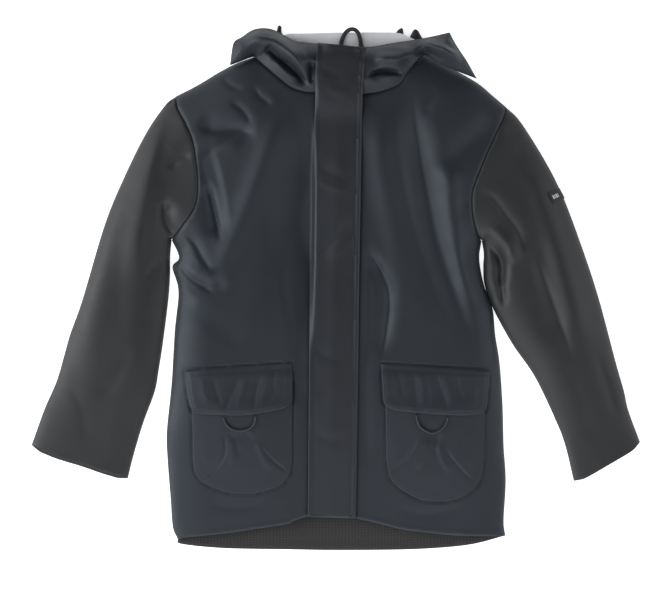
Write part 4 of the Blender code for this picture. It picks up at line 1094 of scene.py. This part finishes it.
# Hood
hood_r_outline = join("r_neck", [centre[-1]], [FINE["centre_top"][-1]], "r_wing_top", "r_wing_low")
hood_l_outline = join([FINE["centre_top"][-1]], [centre[-1]], "-l_neck", "-l_wing_low", "-l_wing_out", "-l_wing_top")


def hood_top(points):
    """The hood sides, sunken at the neck seam."""
    return hood_height(points) - bell(gap_to(points, FINE["r_neck"], FINE["l_neck"]), 1.4)


for side, outline, flat, area in (("right", hood_r_outline, (108, 72), 0.0062),
                                  ("left", hood_l_outline, (152, 66), 0.0066)):
    cloth = panel("hood_side_" + side + "_cloth", outline, hood_top, [SHELL, LINING_WHITE], step=1.5)
    keep(cloth, "hood_side_" + side)


def folded_hood():
    """The rest of the hood, folded below the back: two layers of cloth joined by a soft fold all round."""
    outline = evenly(HOOD_BACK + HOOD_BACK[:1], 2.5)[:-1]
    points, faces = cut(outline, 4.0)
    run = max(rim_of(faces), key=len)
    m, n = len(points), len(run)
    edge, step_in = points[run], inward(points[run])
    gap = gap_to(points, closed(outline))
    top = np.clip(hood_lift(points) - 0.9, 4.8, None) - 1.4 * np.exp(-gap / 2.5)
    wave = 0.5 * np.sin(points[:, 0] / 17.0 + 0.6 * np.sin(points[:, 1] / 23.0)) * ease(gap / 14)
    upper = np.column_stack([points, top + np.minimum(wave, 0)])
    lower = np.column_stack([points, np.full(m, 1.0) + np.maximum(wave, 0) * 0.6])
    upper[run, :2] = edge + step_in * 1.6
    lower[run, :2] = edge + step_in * 1.6
    rows = [upper, lower]
    levels = [run]
    for share, inset_mm in ((0.85, 0.7), (0.62, 0.2), (0.52, 1.2), (0.45, 1.2), (0.34, 0.2), (0.14, 0.7)):
        z = lower[run, 2] + share * (upper[run, 2] - lower[run, 2])
        levels.append([2 * m + (len(levels) - 1) * n + k for k in range(n)])
        rows.append(np.column_stack([edge + step_in * inset_mm, z]))
    levels.append([v + m for v in run])
    tris = [tuple(t) for t in faces] + [tuple(t[::-1] + m) for t in faces]
    for above, below in zip(levels, levels[1:]):
        for j in range(n):
            k = (j + 1) % n
            tris += [(above[k], above[j], below[j]), (above[k], below[j], below[k])]
    return thicken(mesh_object("hood_back_cloth", np.vstack(rows), tris, SHELL), PACKED_WALL)


keep(folded_hood(), "hood_back")

# White lining of the hood, seen above the brim
lining_outline = join(evenly(LINING[:5], 2.0), evenly(LINING[4:] + LINING[:1], 2.0))


def lining_top(points):
    """A few soft waves across the lining, which drops behind the neck."""
    x, y = points[:, 0], points[:, 1]
    return 10.1 - 2.6 * ease((y - 262) / 8) + 0.5 * np.sin(x / 9.0 + 0.5 * np.sin(y / 3.0)) * ease((y - 255) / 6)


lining = panel("hood_lining_cloth", lining_outline, lining_top, LINING_WHITE, step=1.6, wall=0.7)
keep(lining, "hood_lining")

# Hanger tape, bent in its own plane. It is narrower than the least width that a sheet may state.
hanger_line = evenly(HANGER, 1.0)
hanger_rows, hanger_faces = [], []
ahead = np.gradient(hanger_line, axis=0)
across = np.column_stack([-ahead[:, 1], ahead[:, 0]])
across /= np.linalg.norm(across, axis=1)[:, None]
SECTION = [(-1.0, 0.2), (-0.85, 0.75), (-0.4, 0.95), (0.4, 0.95), (0.85, 0.75), (1.0, 0.2), (0.85, 0.0), (-0.85, 0.0)]
for p, s in zip(hanger_line, across):
    for side, up in SECTION:
        q = p + s * side * HANGER_WIDTH / 2
        hanger_rows.append((q[0], q[1], 10.7 + up * 1.1 + 1.0 * ease((p[1] - 252) / 14)))
k = len(SECTION)
for i in range(len(hanger_line) - 1):
    for j in range(k):
        a, b = k * i + j, k * i + (j + 1) % k
        hanger_faces.append((a, b, b + k, a + k))
hanger_faces += [tuple(range(k))[::-1], tuple(range(k * (len(hanger_line) - 1), k * len(hanger_line)))]
hanger = mesh_object("hanger_loop_tape", hanger_rows, hanger_faces, TAPE)
keep(hanger, "hanger_loop")

# Woven label over the outer fold of the left sleeve, with a generic mark
label_rows, label_faces, label_picks = [], [], []
LONG, SHORT = 20, 9
inner_a, inner_b = (np.array(p) for p in LABEL_INNER)
outer_a, outer_b = (np.array(p) for p in LABEL_OUTER)
for i in range(LONG + 1):
    t = i / LONG
    for j in range(SHORT + 1):
        s = j / SHORT
        a = inner_a + (outer_a - inner_a) * t
        b = inner_b + (outer_b - inner_b) * t
        p = a + (b - a) * s
        label_rows.append([p[0], p[1], 0.0])
flat_rows = np.array(label_rows)
fold_gap = gap_to(flat_rows[:, :2], FINE["l_outer"])
past = ~inside(flat_rows[:, :2], join("-l_armhole", "l_outer", "l_cuff", "-l_inner"))
flat_rows[:, 2] = np.where(past, 3.4 - 0.8 * fold_gap, front_height(flat_rows[:, :2]) + 0.8)
label_rows = [tuple(r) for r in flat_rows]
for i in range(LONG):
    for j in range(SHORT):
        a = i * (SHORT + 1) + j
        label_faces.append((a, a + SHORT + 1, a + SHORT + 2, a + 1))
        bars = j in (3, 4, 5) and i in (4, 5, 7, 9, 10, 12)
        label_picks.append(1 if bars else 0)
label = mesh_object("sleeve_label_woven", label_rows, label_faces, [LABEL_BLACK, LABEL_MARK], label_picks)
thicken(label, 0.5, 1)
keep(label, "sleeve_label")


# ---- studio ----------------------------------------------------------------------------------------

floor_mesh = bpy.data.meshes.new("floor")
FAR, BELOW = 40.0, -0.0004   # metres: half the floor's side, and its level just under the coat
corners = [(-FAR, -FAR, BELOW), (FAR, -FAR, BELOW), (FAR, FAR, BELOW), (-FAR, FAR, BELOW)]
floor_mesh.from_pydata(corners, [], [(0, 1, 2, 3)])
floor = bpy.data.objects.new("floor", floor_mesh)
scene.collection.objects.link(floor)
paper = Finish("studio_paper")
paper.plain(Base_Color=(0.90, 0.90, 0.90, 1.0), Roughness=0.9, Specular_IOR_Level=0.1,
            Emission_Color=(1.0, 1.0, 1.0, 1.0), Emission_Strength=0.72)
floor_mesh.materials.append(paper.material)


def soft_light(name, place, aim, width, height, power):
    light = bpy.data.lights.new(name, "AREA")
    light.shape = "RECTANGLE"
    light.size, light.size_y = width, height
    light.energy = power
    obj = bpy.data.objects.new(name, light)
    obj.location = place
    obj.rotation_euler = (Vector(aim) - Vector(place)).to_track_quat("-Z", "Y").to_euler()
    obj.visible_camera = False
    scene.collection.objects.link(obj)


soft_light("fill_left", (1.22, 0.05, 0.70), (0.05, 0.0, 0.0), 0.9, 1.3, 8.0)
soft_light("key_right", (-1.18, 0.05, 0.70), (-0.05, 0.0, 0.0), 0.9, 1.3, 16.0)
soft_light("low_front", (0.0, -0.80, 0.58), (0.0, -0.2, 0.0), 1.2, 0.6, 6.5)

# A tent that is bright round the sides, most of all at the wearer's right, and dim overhead
world = bpy.data.worlds.new("studio")
scene.world = world
world.use_nodes = True
nodes, links = world.node_tree.nodes, world.node_tree.links
direction = nodes.new("ShaderNodeTexCoord")
parts = nodes.new("ShaderNodeSeparateXYZ")
links.new(direction.outputs["Generated"], parts.inputs["Vector"])
ramp = nodes.new("ShaderNodeValToRGB")
stops = ramp.color_ramp.elements
stops[0].position, stops[0].color = 0.0, (1.0, 1.0, 1.0, 1.0)
stops[1].position, stops[1].color = 1.0, (0.06, 0.06, 0.06, 1.0)
for position, level in ((0.35, 0.80), (0.62, 0.25), (0.85, 0.09)):
    stop = stops.new(position)
    stop.color = (level, level, level, 1.0)
links.new(parts.outputs["Z"], ramp.inputs["Fac"])
links.new(ramp.outputs["Color"], nodes["Background"].inputs["Color"])
slant = nodes.new("ShaderNodeMapRange")
slant.inputs["From Min"].default_value, slant.inputs["From Max"].default_value = -1.0, 1.0
slant.inputs["To Min"].default_value, slant.inputs["To Max"].default_value = 1.55, 0.12
links.new(parts.outputs["X"], slant.inputs["Value"])
links.new(slant.outputs["Result"], nodes["Background"].inputs["Strength"])
scene.view_settings.view_transform = "Standard"
